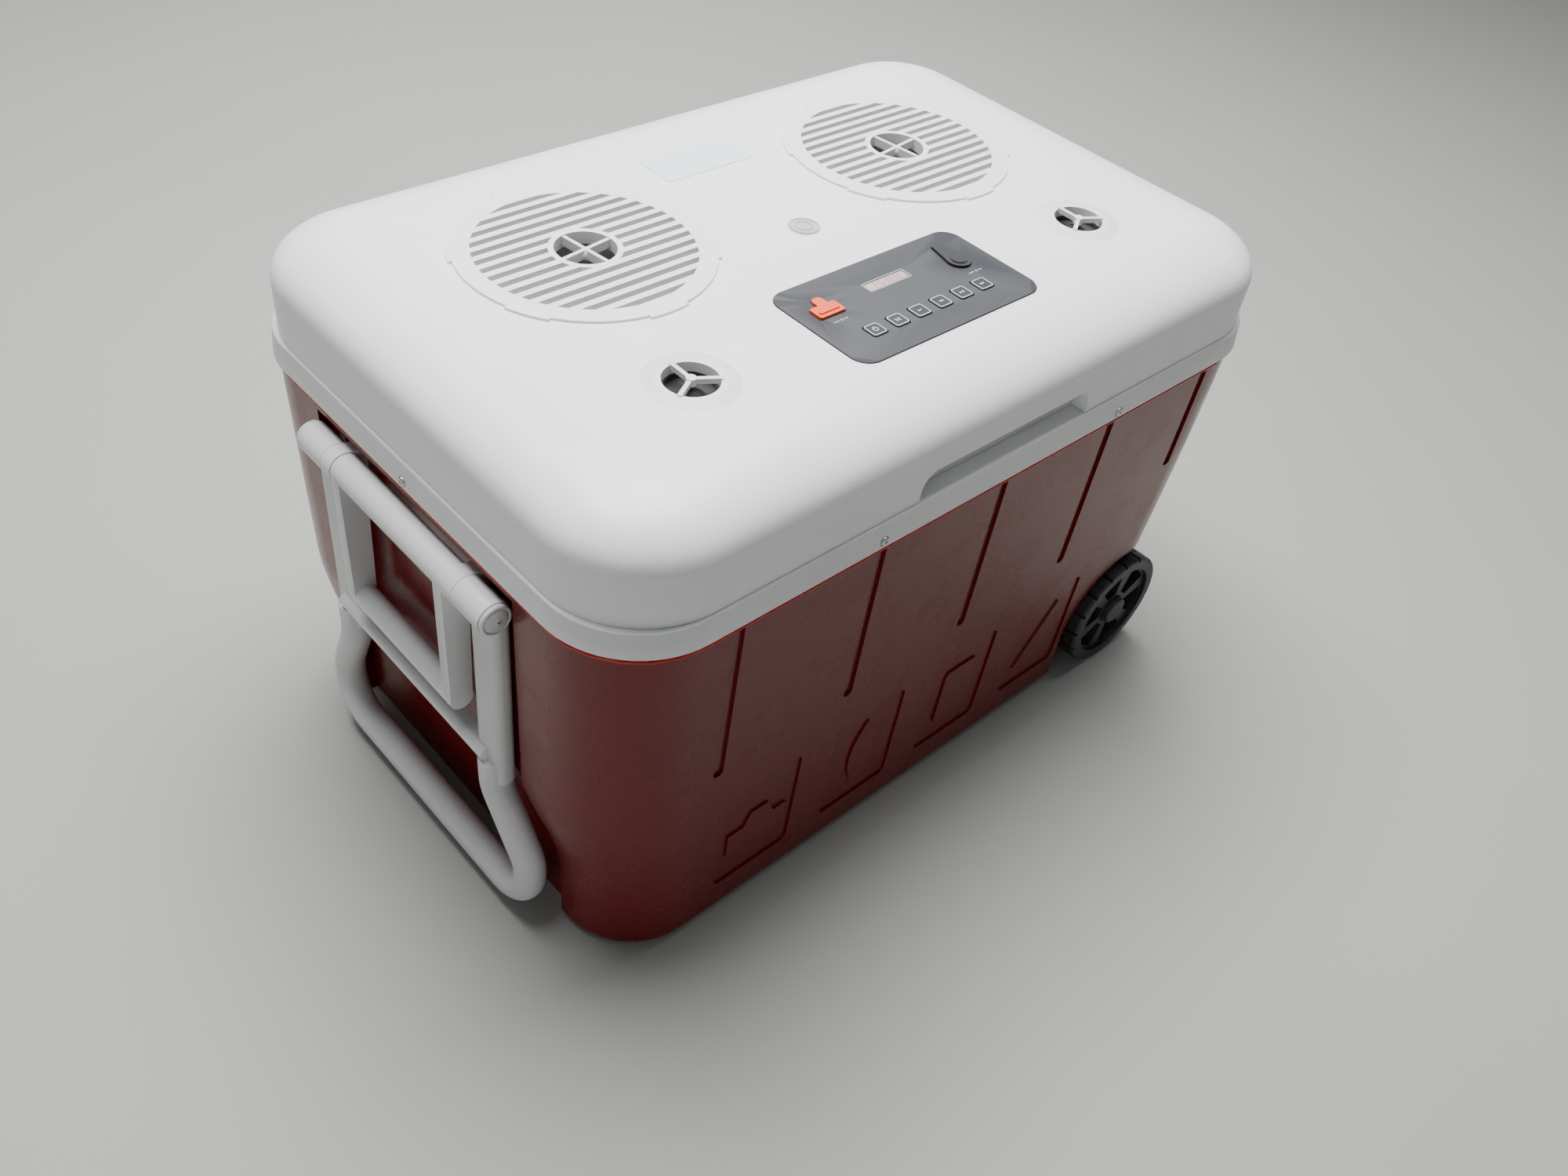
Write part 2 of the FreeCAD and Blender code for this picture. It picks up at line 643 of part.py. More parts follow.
def tow_handle():
    """Moulded tow handle: two flat arms, a cross strip and a splayed loop."""
    grip_z = PIVOT_Z - TOW_DROP
    near = [
        V(TOW_ARM_X - 2, -TOW_ARM_Y, TOW_JOG_TOP + 30), V(TOW_ARM_X - 2, -TOW_ARM_Y, TOW_JOG_TOP),
        V(TOW_GRIP_X + 2, -TOW_LOOP_Y, TOW_JOG_END), V(TOW_GRIP_X, -TOW_LOOP_Y, grip_z)]
    far = [V(p.x, -p.y, p.z) for p in reversed(near)]
    bends = [40.0, 40.0, TOW_LOOP_R, TOW_LOOP_R, 40.0, 40.0]
    shapes = [tube_along(near + far, bends, TOW_TUBE_R)]
    for side in (-1, 1):
        shapes.append(tow_arm(side * TOW_ARM_Y, TOW_JOG_TOP + 12))
        inner = V(PIVOT_X, side * TOW_SLEEVE_Y, PIVOT_Z)
        outer = V(PIVOT_X, side * TOW_SLEEVE_END, PIVOT_Z)
        shapes.append(rod(SLEEVE_R, inner, outer))
    shapes.append(cross_strip())
    body = fuse(shapes)
    ends = [(side * TOW_SLEEVE_Y - side, side * TOW_SLEEVE_END + side) for side in (-1, 1)]
    return body.cut([pivot_bore(y0, y1) for y0, y1 in ends])


def tow_arm(y, z_low):
    """Flat upper arm with rounded edges, from the sleeve down to the tube."""
    half_y = TOW_SLEEVE_W / 2 - 0.4
    wire = rounded_wire(-TOW_ARM_T / 2, TOW_ARM_T / 2, half_y, 7.0, 7.0, 0)
    arm = Part.Face(wire).extrude(V(0, 0, PIVOT_Z - z_low))
    arm.translate(V(TOW_ARM_X, y, z_low))
    return arm


def cross_strip():
    """Half-round strip between the arms, below the carry handle."""
    z = PIVOT_Z - TOW_LEDGE_DROP
    half = TOW_ARM_Y
    strip = rod(7.0, V(PIVOT_X, -half, z), V(PIVOT_X, half, z))
    back = box(PIVOT_X, PIVOT_X + 8, -half, half, z - 7.0, z + 7.0)
    return strip.fuse(back).removeSplitter()


# ---------------------------------------------------------------- wheels
def wheel(side):
    """Moulded wheel: drum with tread blocks, dished face, six pockets."""
    y_face = side * WHEEL_FACE_Y
    inward = V(0, -side, 0)
    face = V(WHEEL_X, y_face, AXLE_Z)
    body = rod(WHEEL_R, face, face + inward * WHEEL_WIDTH)
    edges = [e for e in body.Edges if len(e.Vertexes) == 1]
    body = body.makeFillet(3.0, edges)
    dish_r = WHEEL_R - 12.0
    cuts = [rod(dish_r, face - inward, face + inward * 4.0)]
    back = face + inward * WHEEL_WIDTH
    cuts.append(rod(dish_r + 3, back - inward * 6.0, back + inward))
    cuts += [spoke_pocket(k, face, inward) for k in range(SPOKE_COUNT)]
    cuts += [tread_gap(k, face, inward) for k in range(TREAD_COUNT)]
    body = body.cut(cuts)
    hub = rod(15.0, face + inward * 1.5, back)
    body = body.fuse(hub)
    return body.cut(axle_bore(side)).removeSplitter()


def axle_bore(side):
    y0, y1 = sorted((side * (WHEEL_FACE_Y - WHEEL_WIDTH - 1), side * (WHEEL_FACE_Y + 1)))
    return rod(AXLE_R + PIVOT_GAP, V(WHEEL_X, y0, AXLE_Z), V(WHEEL_X, y1, AXLE_Z))


def spoke_pocket(k, face, inward):
    """Wedge-shaped pocket through the web, between two spokes."""
    outer = rod(WHEEL_R - 15.0, face, face + inward * (WHEEL_WIDTH - 7.0))
    inner = rod(19.0, face, face + inward * WHEEL_WIDTH)
    spread = 360.0 / SPOKE_COUNT
    wedge = polygon([
        (4.0, 0, 0), (80, 0, 80 * math.tan(math.radians(spread / 2 - 9))),
        (80, 0, -80 * math.tan(math.radians(spread / 2 - 9)))])
    solid = wedge.extrude(V(0, 60, 0))
    solid.translate(V(0, -30, 0))
    solid.rotate(V(0, 0, 0), Y_AXIS, k * spread + 12)
    solid.translate(face + inward * WHEEL_WIDTH / 2)
    return outer.cut(inner).common(solid)


def tread_gap(k, face, inward):
    """Groove across the tread; alternate grooves start from each side."""
    reach = WHEEL_WIDTH * 0.62
    start = -1.0 if k % 2 else WHEEL_WIDTH - reach + 1.0
    y0, y1 = sorted((face.y + inward.y * start, face.y + inward.y * (start + reach)))
    gap = box(WHEEL_R - TREAD_DEPTH, WHEEL_R + 2, y0, y1, -1.7, 1.7)
    gap.rotate(V(0, 0, 0), Y_AXIS, k * 360.0 / TREAD_COUNT)
    gap.translate(V(WHEEL_X, 0, AXLE_Z))
    return gap


def axle():
    """Steel axle with a groove-free plain end inside each hub cap."""
    end = WHEEL_FACE_Y - 1.0
    return rod(AXLE_R, V(WHEEL_X, -end, AXLE_Z), V(WHEEL_X, end, AXLE_Z))


def hub_cap(side):
    """Domed cap pressed over the hub, hiding the axle's end."""
    base = V(WHEEL_X, side * (WHEEL_FACE_Y - 1.5), AXLE_Z)
    out = V(0, side, 0)
    cap = rod(14.0, base, base + out * 3.6)
    rim = [e for e in cap.Edges if on_far_end(e, base + out * 3.6, Y_AXIS)]
    cap = cap.makeFillet(2.0, rim)
    return cap.cut(rod(AXLE_R + 0.6, base, base + out * 1.2))


# ---------------------------------------------------------------- lid
def dome_profile(core, z0, top, run, rise):
    """Half profile of the dome in XZ, from its middle to its wall."""
    wall_top = top - rise
    ellipse = Part.Ellipse(V(core - run, 0, wall_top), run, rise)
    if rise > run:
        ellipse = Part.Ellipse(V(core - run, 0, wall_top), rise, run)
    ellipse.Axis = V(0, -1, 0)
    ellipse.XAxis = V(1, 0, 0)
    curve = Part.ArcOfEllipse(ellipse, 0, math.pi / 2).toShape()
    points = [V(core - run, 0, top), V(0, 0, top), V(0, 0, z0), V(core, 0, z0), V(core, 0, wall_top)]
    lines = [Part.makeLine(points[i], points[i + 1]) for i in range(4)]
    return Part.Face(Part.Wire([curve] + lines))


def dome(half_x, half_y, radius, z0, top, run, rise):
    """Rounded box with an elliptical shoulder all round.

    Four corner revolves, four straight sides and a middle block.
    """
    cx = half_x - radius
    cy = half_y - radius
    profile = dome_profile(radius, z0, top, run, rise)
    shapes = [box(-cx, cx, -cy, cy, z0, top)]
    for k, (x, y) in enumerate(((1, 1), (-1, 1), (-1, -1), (1, -1))):
        corner = profile.copy()
        corner.rotate(V(0, 0, 0), Z_AXIS, k * 90)
        corner = corner.revolve(V(0, 0, 0), Z_AXIS, 90)
        corner.translate(V(x * cx, y * cy, 0))
        shapes.append(corner)
        side = profile.copy()
        length = 2 * (cy if k % 2 == 0 else cx)
        side = side.extrude(V(0, length, 0))
        side.rotate(V(0, 0, 0), Z_AXIS, k * 90)
        starts = (V(cx, -cy, 0), V(cx, cy, 0), V(-cx, cy, 0), V(-cx, -cy, 0))
        side.translate(starts[k])
        shapes.append(side)
    return fuse(shapes)


def grip_recess(grow):
    """Scoop under the front edge of the lid, open downwards."""
    y = -LID_HY
    z0 = LID_Z - 2
    top = LID_Z + GRIP_HEIGHT + grow
    deep = GRIP_DEPTH + grow
    start = V(0, y - 8, top)
    lip = V(0, y, top)
    low = V(0, y + deep, LID_Z + 6.0 + grow)
    middle = V(0, y + deep * 0.62, LID_Z + (GRIP_HEIGHT + grow) * 0.72)
    edges = [
        Part.makeLine(start, lip), Part.Arc(lip, middle, low).toShape(),
        Part.makeLine(low, V(0, y + deep, z0)), Part.makeLine(V(0, y + deep, z0), V(0, y - 8, z0)),
        Part.makeLine(V(0, y - 8, z0), start)]
    scoop = Part.Face(Part.Wire(edges)).extrude(V(2 * (GRIP_HALF + grow), 0, 0))
    scoop.translate(V(-GRIP_HALF - grow, 0, 0))
    height = GRIP_HEIGHT + grow
    outline = xz_rounded(0, LID_Z, GRIP_HALF + grow, height, 15.0 + grow)
    front = outline.extrude(V(0, 60, 0))
    front.translate(V(0, y - 20, 0))
    return scoop.common(front)


def lid_shell():
    outer = dome(LID_HX, LID_HY, LID_R, LID_Z, HEIGHT, DOME_RUN, DOME_RISE)
    inner = dome(LID_HX - SKIN, LID_HY - SKIN, LID_R - SKIN, LID_Z - 1, TOP_IN_Z,
                 DOME_RUN - 1, DOME_RISE - 1)
    shell = outer.cut(grip_recess(0)).cut(inner.cut(grip_recess(SKIN)))
    cuts = []
    for side in (-1, 1):
        at = V(side * WOOFER_X, WOOFER_Y, TOP_IN_Z - 1)
        cuts.append(rod(WOOFER_OPEN_R + SKIN, at, at + V(0, 0, 20)))
        at = V(side * TWEETER_X, TWEETER_Y, TOP_IN_Z - 1)
        cuts.append(rod(TWEETER_OPEN_R + SKIN, at, at + V(0, 0, 20)))
    seat = plate_seat()
    hole = slab(PANEL_PLATE_W / 2 - 7, PANEL_PLATE_D / 2 - 7, PLATE_R - 7, TOP_IN_Z - 9,
                HEIGHT + 1, 0, PANEL_PLATE_Y)
    cuts += [seat, hole]
    shell = shell.fuse(plate_ledge()).cut(cuts)
    return shell.cut(screw_holes(hinge_screw_places(lower=False), SCREW_R, 12)).removeSplitter()


def plate_seat():
    """Pocket that takes the control panel."""
    depth = PLATE_T - PLATE_PROUD
    return slab(PANEL_PLATE_W / 2 + FIT_GAP, PANEL_PLATE_D / 2 + FIT_GAP, PLATE_R + FIT_GAP,
                HEIGHT - depth, HEIGHT + 5, 0, PANEL_PLATE_Y)


def plate_ledge():
    """Thickened skin under the control panel's edge."""
    return slab(PANEL_PLATE_W / 2 + 4, PANEL_PLATE_D / 2 + 4, PLATE_R + 4,
                TOP_IN_Z - SKIN, TOP_IN_Z + 0.5, 0, PANEL_PLATE_Y)


def plug_wire_box(inset, z0, z1):
    """Block the shape of the lid's plug, which drops into the tub."""
    half_x = HALF_X - TUB_WALL - PLUG_GAP - inset
    half_y = HALF_Y - TUB_WALL - PLUG_GAP - inset
    return slab(half_x, half_y, TUB_CORNER_R - PLUG_GAP - inset, z0, z1)


def lid_liner():
    """Inner pan of the lid: edge plate, and a plug that enters the tub."""
    edge = slab(LID_HX - SKIN - FIT_GAP, LID_HY - SKIN - FIT_GAP, LID_R - SKIN - FIT_GAP,
                LID_Z, LID_Z + SKIN)
    edge = edge.cut(grip_recess(SKIN + FIT_GAP))
    plug = plug_wire_box(0, SPLIT_Z - PLUG_DEPTH, LID_Z + SKIN)
    pan = edge.fuse(plug).cut(plug_wire_box(SKIN, SPLIT_Z - PLUG_DEPTH + SKIN, LID_Z + SKIN + 1))
    groove = gasket_ring(FIT_GAP / 2, LID_Z + 1.6)
    return pan.cut(groove).removeSplitter()


def gasket_ring(grow, top):
    """Ring round the plug, under the lid's edge plate."""
    inner = 8.0
    half_x = HALF_X - TUB_WALL + inner
    half_y = HALF_Y - TUB_WALL + inner
    outer = slab(half_x + grow, half_y + grow, TUB_CORNER_R + inner, SPLIT_Z + 0.1, top)
    width = 5.0
    hole = slab(half_x - width - grow, half_y - width - grow, TUB_CORNER_R + inner - width,
                SPLIT_Z - 1, top + 1)
    return outer.cut(hole)


def lid_foam():
    """Foam inside the lid, with bays for the speakers and electronics."""
    gap = SKIN + FIT_GAP
    upper = dome(LID_HX - gap, LID_HY - gap, LID_R - gap, LID_Z + SKIN + FIT_GAP, TOP_IN_Z - FIT_GAP,
                 DOME_RUN - 1, DOME_RISE - 1)
    lower = plug_wire_box(SKIN + FIT_GAP, SPLIT_Z - PLUG_DEPTH + SKIN + FIT_GAP, LID_Z + SKIN + 2)
    foam = upper.fuse(lower).cut(grip_recess(gap + 1))
    cuts = []
    floor = SPLIT_Z + 1
    bay = SPLIT_Z + BAY_FLOOR
    for side in (-1, 1):
        at = V(side * WOOFER_X, WOOFER_Y, floor)
        cuts.append(rod(WOOFER_OPEN_R + 7, at, at + V(0, 0, 90)))
        at = V(side * TWEETER_X, TWEETER_Y, floor + 25)
        cuts.append(rod(TWEETER_OPEN_R + 8, at, at + V(0, 0, 90)))
        hinge_x = side * HINGE_X
        cuts.append(box(hinge_x - 28, hinge_x + 28, LID_HY - 15, LID_HY, floor, floor + 30))
    cuts.append(slab(PANEL_PLATE_W / 2 + 6, PANEL_PLATE_D / 2 + 6, PLATE_R + 6, bay,
                     HEIGHT, 0, PANEL_PLATE_Y))
    cuts.append(box(-60, 60, -45, 150, bay, HEIGHT))
    return foam.cut(cuts).removeSplitter()


# ---------------------------------------------------------------- speakers
def woofer_grille(side):
    """Flange with lugs, slats along X, hub ring with a cross."""
    z0 = HEIGHT - GRILLE_DEEP
    z1 = HEIGHT + GRILLE_PROUD
    flange = rod(WOOFER_FLANGE_R, V(0, 0, HEIGHT), V(0, 0, z1))
    lugs = [flange_lug(k) for k in range(LUG_COUNT)]
    collar = rod(WOOFER_OPEN_R + SKIN - FIT_GAP, V(0, 0, z0), V(0, 0, HEIGHT))
    plate = fuse([flange, collar] + lugs)
    plate = plate.cut(slat_slots())
    hub = rod(WOOFER_HUB_R, V(0, 0, z0), V(0, 0, z1))
    eye = rod(WOOFER_HUB_R - 4.2, V(0, 0, z0 - 1), V(0, 0, z1 + 1))
    plate = plate.fuse(hub).cut(eye)
    arms = []
    for angle in (8, 98):
        arm = box(-WOOFER_HUB_R + 2, WOOFER_HUB_R - 2, -1.5, 1.5, z0 + 2, z1 - 0.8)
        arm.rotate(V(0, 0, 0), Z_AXIS, angle)
        arms.append(arm)
    ball = Part.makeSphere(4.6, V(0, 0, z1 - 5.0))
    grille = fuse([plate] + arms + [ball])
    grille.translate(V(side * WOOFER_X, WOOFER_Y, 0))
    return grille


def flange_lug(k):
    """One of the shallow bumps on the flange's outline."""
    lug = rod(WOOFER_FLANGE_R + LUG_OUT, V(0, 0, HEIGHT), V(0, 0, HEIGHT + GRILLE_PROUD))
    wedge = polygon([(0, 0, 0), (130, -22, 0), (130, 22, 0)]).extrude(V(0, 0, 40))
    wedge.rotate(V(0, 0, 0), Z_AXIS, 30 + k * 360.0 / LUG_COUNT)
    wedge.translate(V(0, 0, HEIGHT - 20))
    return lug.common(wedge)


def slat_slots():
    """Slots that leave the slats standing, clipped to the round opening."""
    opening = rod(WOOFER_OPEN_R, V(0, 0, HEIGHT - 30), V(0, 0, HEIGHT + 10))
    slots = []
    count = int(WOOFER_OPEN_R / SLAT_PITCH)
    for k in range(-count, count + 1):
        y = k * SLAT_PITCH
        slots.append(box(-100, 100, y - SLAT_SLOT / 2, y + SLAT_SLOT / 2, HEIGHT - 20, HEIGHT + 10))
    return opening.common(slots[0].multiFuse(slots[1:]))


def woofer_basket(side):
    """Pressed frame: seat ring, six legs, back plate."""
    top = HEIGHT - GRILLE_DEEP
    inner_r = WOOFER_OPEN_R - 8
    seat = rod(WOOFER_OPEN_R + 1, V(0, 0, top - 3), V(0, 0, top))
    wall = rod(inner_r + 2.5, V(0, 0, top - 8.4), V(0, 0, top - 2.9))
    seat = seat.fuse(wall).cut(rod(inner_r, V(0, 0, top - 9), V(0, 0, top + 1)))
    cone_out = Part.makeCone(36, inner_r + 2.5, 23, V(0, 0, top - 31))
    cone_in = Part.makeCone(34, inner_r + 0.3, 23.2, V(0, 0, top - 31))
    skirt = cone_out.cut(cone_in)
    for k in range(6):
        window = box(42, 66, -13, 13, top - 27, top - 11)
        window.rotate(V(0, 0, 0), Z_AXIS, k * 60)
        skirt = skirt.cut(window)
    back = rod(37, V(0, 0, top - 34), V(0, 0, top - 30.5))
    back = back.cut(rod(16, V(0, 0, top - 40), V(0, 0, top)))
    frame = fuse([seat, skirt, back])
    frame.translate(V(side * WOOFER_X, WOOFER_Y, 0))
    return frame


def woofer_cone(side):
    """Paper cone with a half-roll surround and a dust cap."""
    top = HEIGHT - GRILLE_DEEP
    outer_r = WOOFER_OPEN_R - 9
    cone = Part.makeCone(15, outer_r - 11, 21, V(0, 0, top - 26))
    cone = cone.cut(Part.makeCone(13.5, outer_r - 12.5, 21.2, V(0, 0, top - 26)))
    roll = Part.makeTorus(outer_r - 6, 5.4, V(0, 0, top - 6))
    roll = roll.cut(Part.makeTorus(outer_r - 6, 4.4, V(0, 0, top - 6)))
    roll = roll.common(box(-100, 100, -100, 100, top - 6, top))
    cap = Part.makeSphere(24, V(0, 0, top - 36)).cut(Part.makeSphere(22.6, V(0, 0, top - 36)))
    cap = cap.common(box(-30, 30, -30, 30, top - 21, top))
    web = rod(outer_r - 10, V(0, 0, top - 6.2), V(0, 0, top - 5.2))
    web = web.cut(rod(outer_r - 12.6, V(0, 0, top - 8), V(0, 0, top)))
    former = rod(14.4, V(0, 0, top - 33), V(0, 0, top - 19.8))
    former = former.cut(rod(12.6, V(0, 0, top - 34), V(0, 0, top - 18)))
    collar = rod(20, V(0, 0, top - 21), V(0, 0, top - 19.8))
    collar = collar.cut(rod(12.6, V(0, 0, top - 22), V(0, 0, top)))
    whole = fuse([cone, roll, web, collar, former, cap])
    whole.translate(V(side * WOOFER_X, WOOFER_Y, 0))
    return whole


def woofer_magnet(side):
    """Ring magnet between two plates, with the centre pole."""
    top = HEIGHT - GRILLE_DEEP - 34.0
    ring = rod(36, V(0, 0, top - 12), V(0, 0, top)).cut(rod(16, V(0, 0, top - 9), V(0, 0, top + 1)))
    pole = rod(10.5, V(0, 0, top - 10), V(0, 0, top + 3))
    magnet = fuse([ring, pole])
    magnet.translate(V(side * WOOFER_X, WOOFER_Y, 0))
    return magnet


def tweeter_guard(side):
    """Sloping flange round the opening, with three spokes and a hub."""
    z1 = HEIGHT + 1.4
    cone = Part.makeCone(TWEETER_FLANGE_R, TWEETER_OPEN_R + 5, 1.4, V(0, 0, HEIGHT))
    collar = rod(TWEETER_OPEN_R + SKIN - FIT_GAP, V(0, 0, HEIGHT - 6), V(0, 0, HEIGHT + 0.5))
    ring = cone.fuse(collar).cut(rod(TWEETER_OPEN_R, V(0, 0, HEIGHT - 10), V(0, 0, HEIGHT + 5)))
    shapes = [ring]
    for k in range(3):
        spoke = box(0, TWEETER_OPEN_R + 1.5, -1.6, 1.6, HEIGHT - 1.6, z1 + 0.9)
        spoke.rotate(V(0, 0, 0), Z_AXIS, 90 + 120 * k)
        shapes.append(spoke)
    shapes.append(rod(3.6, V(0, 0, HEIGHT - 2.4), V(0, 0, z1 + 1.5)))
    guard = fuse(shapes)
    guard.translate(V(side * TWEETER_X, TWEETER_Y, 0))
    return guard


def tweeter(side):
    """Small driver under its guard: cup with a domed diaphragm."""
    top = HEIGHT - 6.0
    cup = rod(TWEETER_OPEN_R + 2, V(0, 0, top - 18), V(0, 0, top))
    cup = cup.cut(rod(TWEETER_OPEN_R - 1, V(0, 0, top - 4), V(0, 0, top + 1)))
    bump = Part.makeSphere(13, V(0, 0, top - 12))
    bump = bump.common(box(-20, 20, -20, 20, top - 5, top + 5))
    driver = fuse([cup, bump])
    driver.translate(V(side * TWEETER_X, TWEETER_Y, 0))
    return driver


# ---------------------------------------------------------------- controls
def key_x(k):
    return (k - 2.5) * KEY_PITCH


def key_block(x, size, z0, z1):
    return slab(size / 2, size / 2, 2.6, z0, z1, x, KEY_Y)


def control_panel():
    z0 = HEIGHT + PLATE_PROUD - PLATE_T
    z1 = HEIGHT + PLATE_PROUD
    plate = slab(PANEL_PLATE_W / 2, PANEL_PLATE_D / 2, PLATE_R, z0, z1, 0, PANEL_PLATE_Y)
    plate = plate.makeFillet(0.5, [e for e in plate.Edges if on_far_end(e, V(0, 0, z1), Z_AXIS)])
    cuts = [key_block(key_x(k), KEY_SIZE + 2 * SLIDE_GAP, z0 - 1, z1 + 1) for k in range(6)]
    half_w, half_d = DISPLAY[0] / 2, DISPLAY[1] / 2
    cuts.append(slab(half_w, half_d, 1.0, z0 - 1, z1 + 1, *DISPLAY_AT))
    cuts.append(slab(7.0, 3.4, 1.0, z0 - 1, z1 + 1, USB_AT[0], USB_AT[1]))
    cuts.append(rod(4.0, V(AUX_AT[0], AUX_AT[1], z0 - 1), V(AUX_AT[0], AUX_AT[1], z1 + 1)))
    cuts.append(usb_outline(SLIDE_GAP, z1 - 0.8, z1 + 1))
    cuts.append(aux_outline(SLIDE_GAP, z1 - 0.8, z1 + 1))
    return plate.cut(cuts)


def usb_outline(grow, z0, z1):
    """Cover outline: rounded rectangle with a finger tab behind it."""
    half_x = USB_SIZE[0] / 2 + grow
    half_y = USB_SIZE[1] / 2 + grow
    base = slab(half_x, half_y, 2.0, z0, z1, *USB_AT)
    tab_y = USB_AT[1] + USB_SIZE[1] / 2 + USB_TAB[1] / 2 - 2
    tab = slab(USB_TAB[0] / 2 + grow, USB_TAB[1] / 2 + 2 + grow, 4.0, z0, z1, USB_AT[0] + 1.5, tab_y)
    return base.fuse(tab).removeSplitter()


def aux_outline(grow, z0, z1):
    """Teardrop: round end over the socket, narrow end behind it."""
    r = AUX_R + grow
    x, y = AUX_AT
    tip_r = 3.0 + grow
    big = rod(r, V(x, y, z0), V(x, y, z1))
    tip = rod(tip_r, V(x - 2, y + AUX_NOSE, z0), V(x - 2, y + AUX_NOSE, z1))
    web = polygon([
        (x - r * 0.93, y + r * 0.32, z0), (x + r * 0.93, y + r * 0.32, z0),
        (x - 2 + tip_r * 0.95, y + AUX_NOSE, z0), (x - 2 - tip_r * 0.95, y + AUX_NOSE, z0)])
    return fuse([big, tip, web.extrude(V(0, 0, z1 - z0))])


def cover_base():
    """Height of the covers' underside, in their shallow pocket."""
    return HEIGHT + PLATE_PROUD - 0.8 + 0.05


def usb_cover():
    z0 = cover_base()
    cover = usb_outline(0, z0, z0 + COVER_T)
    ridge = slab(USB_SIZE[0] / 2 - 2.5, 1.6, 1.4, z0 + COVER_T - 0.2, z0 + COVER_T + 1.0,
                 USB_AT[0], USB_AT[1] - 1.5)
    return cover.fuse(ridge).removeSplitter()


def aux_cover():
    z0 = cover_base()
    cover = aux_outline(0, z0, z0 + COVER_T)
    foot = V(AUX_AT[0], AUX_AT[1], z0 + COVER_T - 0.1)
    ring = rod(6.4, foot, foot + V(0, 0, 0.9))
    return cover.fuse(ring).removeSplitter()


def display_window():
    z0 = HEIGHT + PLATE_PROUD - PLATE_T
    z1 = HEIGHT + PLATE_PROUD - 0.3
    return slab(DISPLAY[0] / 2 - 0.1, DISPLAY[1] / 2 - 0.1, 0.9, z0, z1, *DISPLAY_AT)


def key(k):
    """Square key cap with a short stem above its switch."""
    z1 = HEIGHT + PLATE_PROUD + KEY_PROUD
    z0 = HEIGHT + PLATE_PROUD - PLATE_T + 0.4
    cap = key_block(key_x(k), KEY_SIZE, z0, z1)
    cap = cap.makeFillet(0.5, [e for e in cap.Edges if on_far_end(e, V(0, 0, z1), Z_AXIS)])
    stem_end = board_top() + 3.0 + KEY_TRAVEL + 0.25
    stem = rod(2.4, V(key_x(k), KEY_Y, stem_end), V(key_x(k), KEY_Y, z0 + 0.5))
    return cap.fuse(stem)


def board_top():
    return HEIGHT - 14.0


def circuit_board():
    """Board under the panel, with its four plain stand-off pads."""
    top = board_top()
    board = slab(PANEL_PLATE_W / 2 - 1, PANEL_PLATE_D / 2 - 1, 3, top - 1.6, top, 0, PANEL_PLATE_Y)
    parts = [board]
    for x, y, w, d, h in ((-40, -112, 12, 12, 2.2), (0, -112, 16, 10, 2.0), (40, -118, 9, 14, 2.6)):
        parts.append(box(x - w / 2, x + w / 2, y - d / 2, y + d / 2, top - 0.2, top + h))
    for sx in (-1, 1):
        for sy in (-1, 1):
            y = PANEL_PLATE_Y + sy * (PANEL_PLATE_D / 2 - 3.5)
            at = V(sx * (PANEL_PLATE_W / 2 - 3.5), y, top - 0.2)
            parts.append(rod(3.0, at, V(at.x, at.y, TOP_IN_Z - SKIN)))
    return fuse(parts)


def tact_switches():
    """Six small switches, one under each key."""
    top = board_top()
    return Part.makeCompound([
        box(key_x(k) - 3, key_x(k) + 3, KEY_Y - 3, KEY_Y + 3, top, top + 3.0) for k in range(6)])


def usb_socket():
    """Metal shell round a rectangular opening, with its tongue."""
    x, y = USB_AT
    top = HEIGHT + PLATE_PROUD - PLATE_T - 0.1
    can = box(x - 7.6, x + 7.6, y - 4.0, y + 4.0, board_top() + 0.05, top)
    hollow = box(x - 6.5, x + 6.5, y - 2.9, y + 2.9, board_top() + 1.5, top + 1)
    tongue = box(x - 5.6, x + 5.6, y + 1.2, y + 2.6, board_top() + 1.5, top - 1.5)
    return can.cut(hollow).fuse(tongue)


def aux_socket():
    """Round socket with the signal bore, standing on the board."""
    x, y = AUX_AT
    top = HEIGHT + PLATE_PROUD - PLATE_T - 0.1
    body = box(x - 5.5, x + 5.5, y - 5.5, y + 5.5, board_top() + 0.05, top - 1.5)
    nose = rod(3.6, V(x, y, top - 2), V(x, y, top + 1.2))
    bore = rod(AUX_BORE_R, V(x, y, top + 1.2 - AUX_BORE_LENGTH), V(x, y, top + 2))
    return body.fuse(nose).cut(bore).removeSplitter()


def amplifier():
    """Amplifier block with cooling fins, in the bay behind the board."""
    z0 = SPLIT_Z + BAY_FLOOR
    base = box(-50, 50, -38, 30, z0, z0 + 16)
    fins = [box(-48 + 8 * k, -45 + 8 * k, -36, 28, z0 + 15, z0 + 32) for k in range(13)]
    return fuse([base] + fins)


def battery():
    """Sealed battery behind the amplifier, with two terminals."""
    z0 = SPLIT_Z + BAY_FLOOR
    case = slab(52, 50, 3, z0, z0 + 48, 0, 90)
    shapes = [case]
    for x in (-36, 36):
        shapes.append(rod(4, V(x, 55, z0 + 47), V(x, 55, z0 + 53)))
    return fuse(shapes)


def name_plate():
    return slab(LABEL[0] / 2, LABEL[1] / 2, 2.0, HEIGHT, HEIGHT + 0.5, *LABEL_AT)


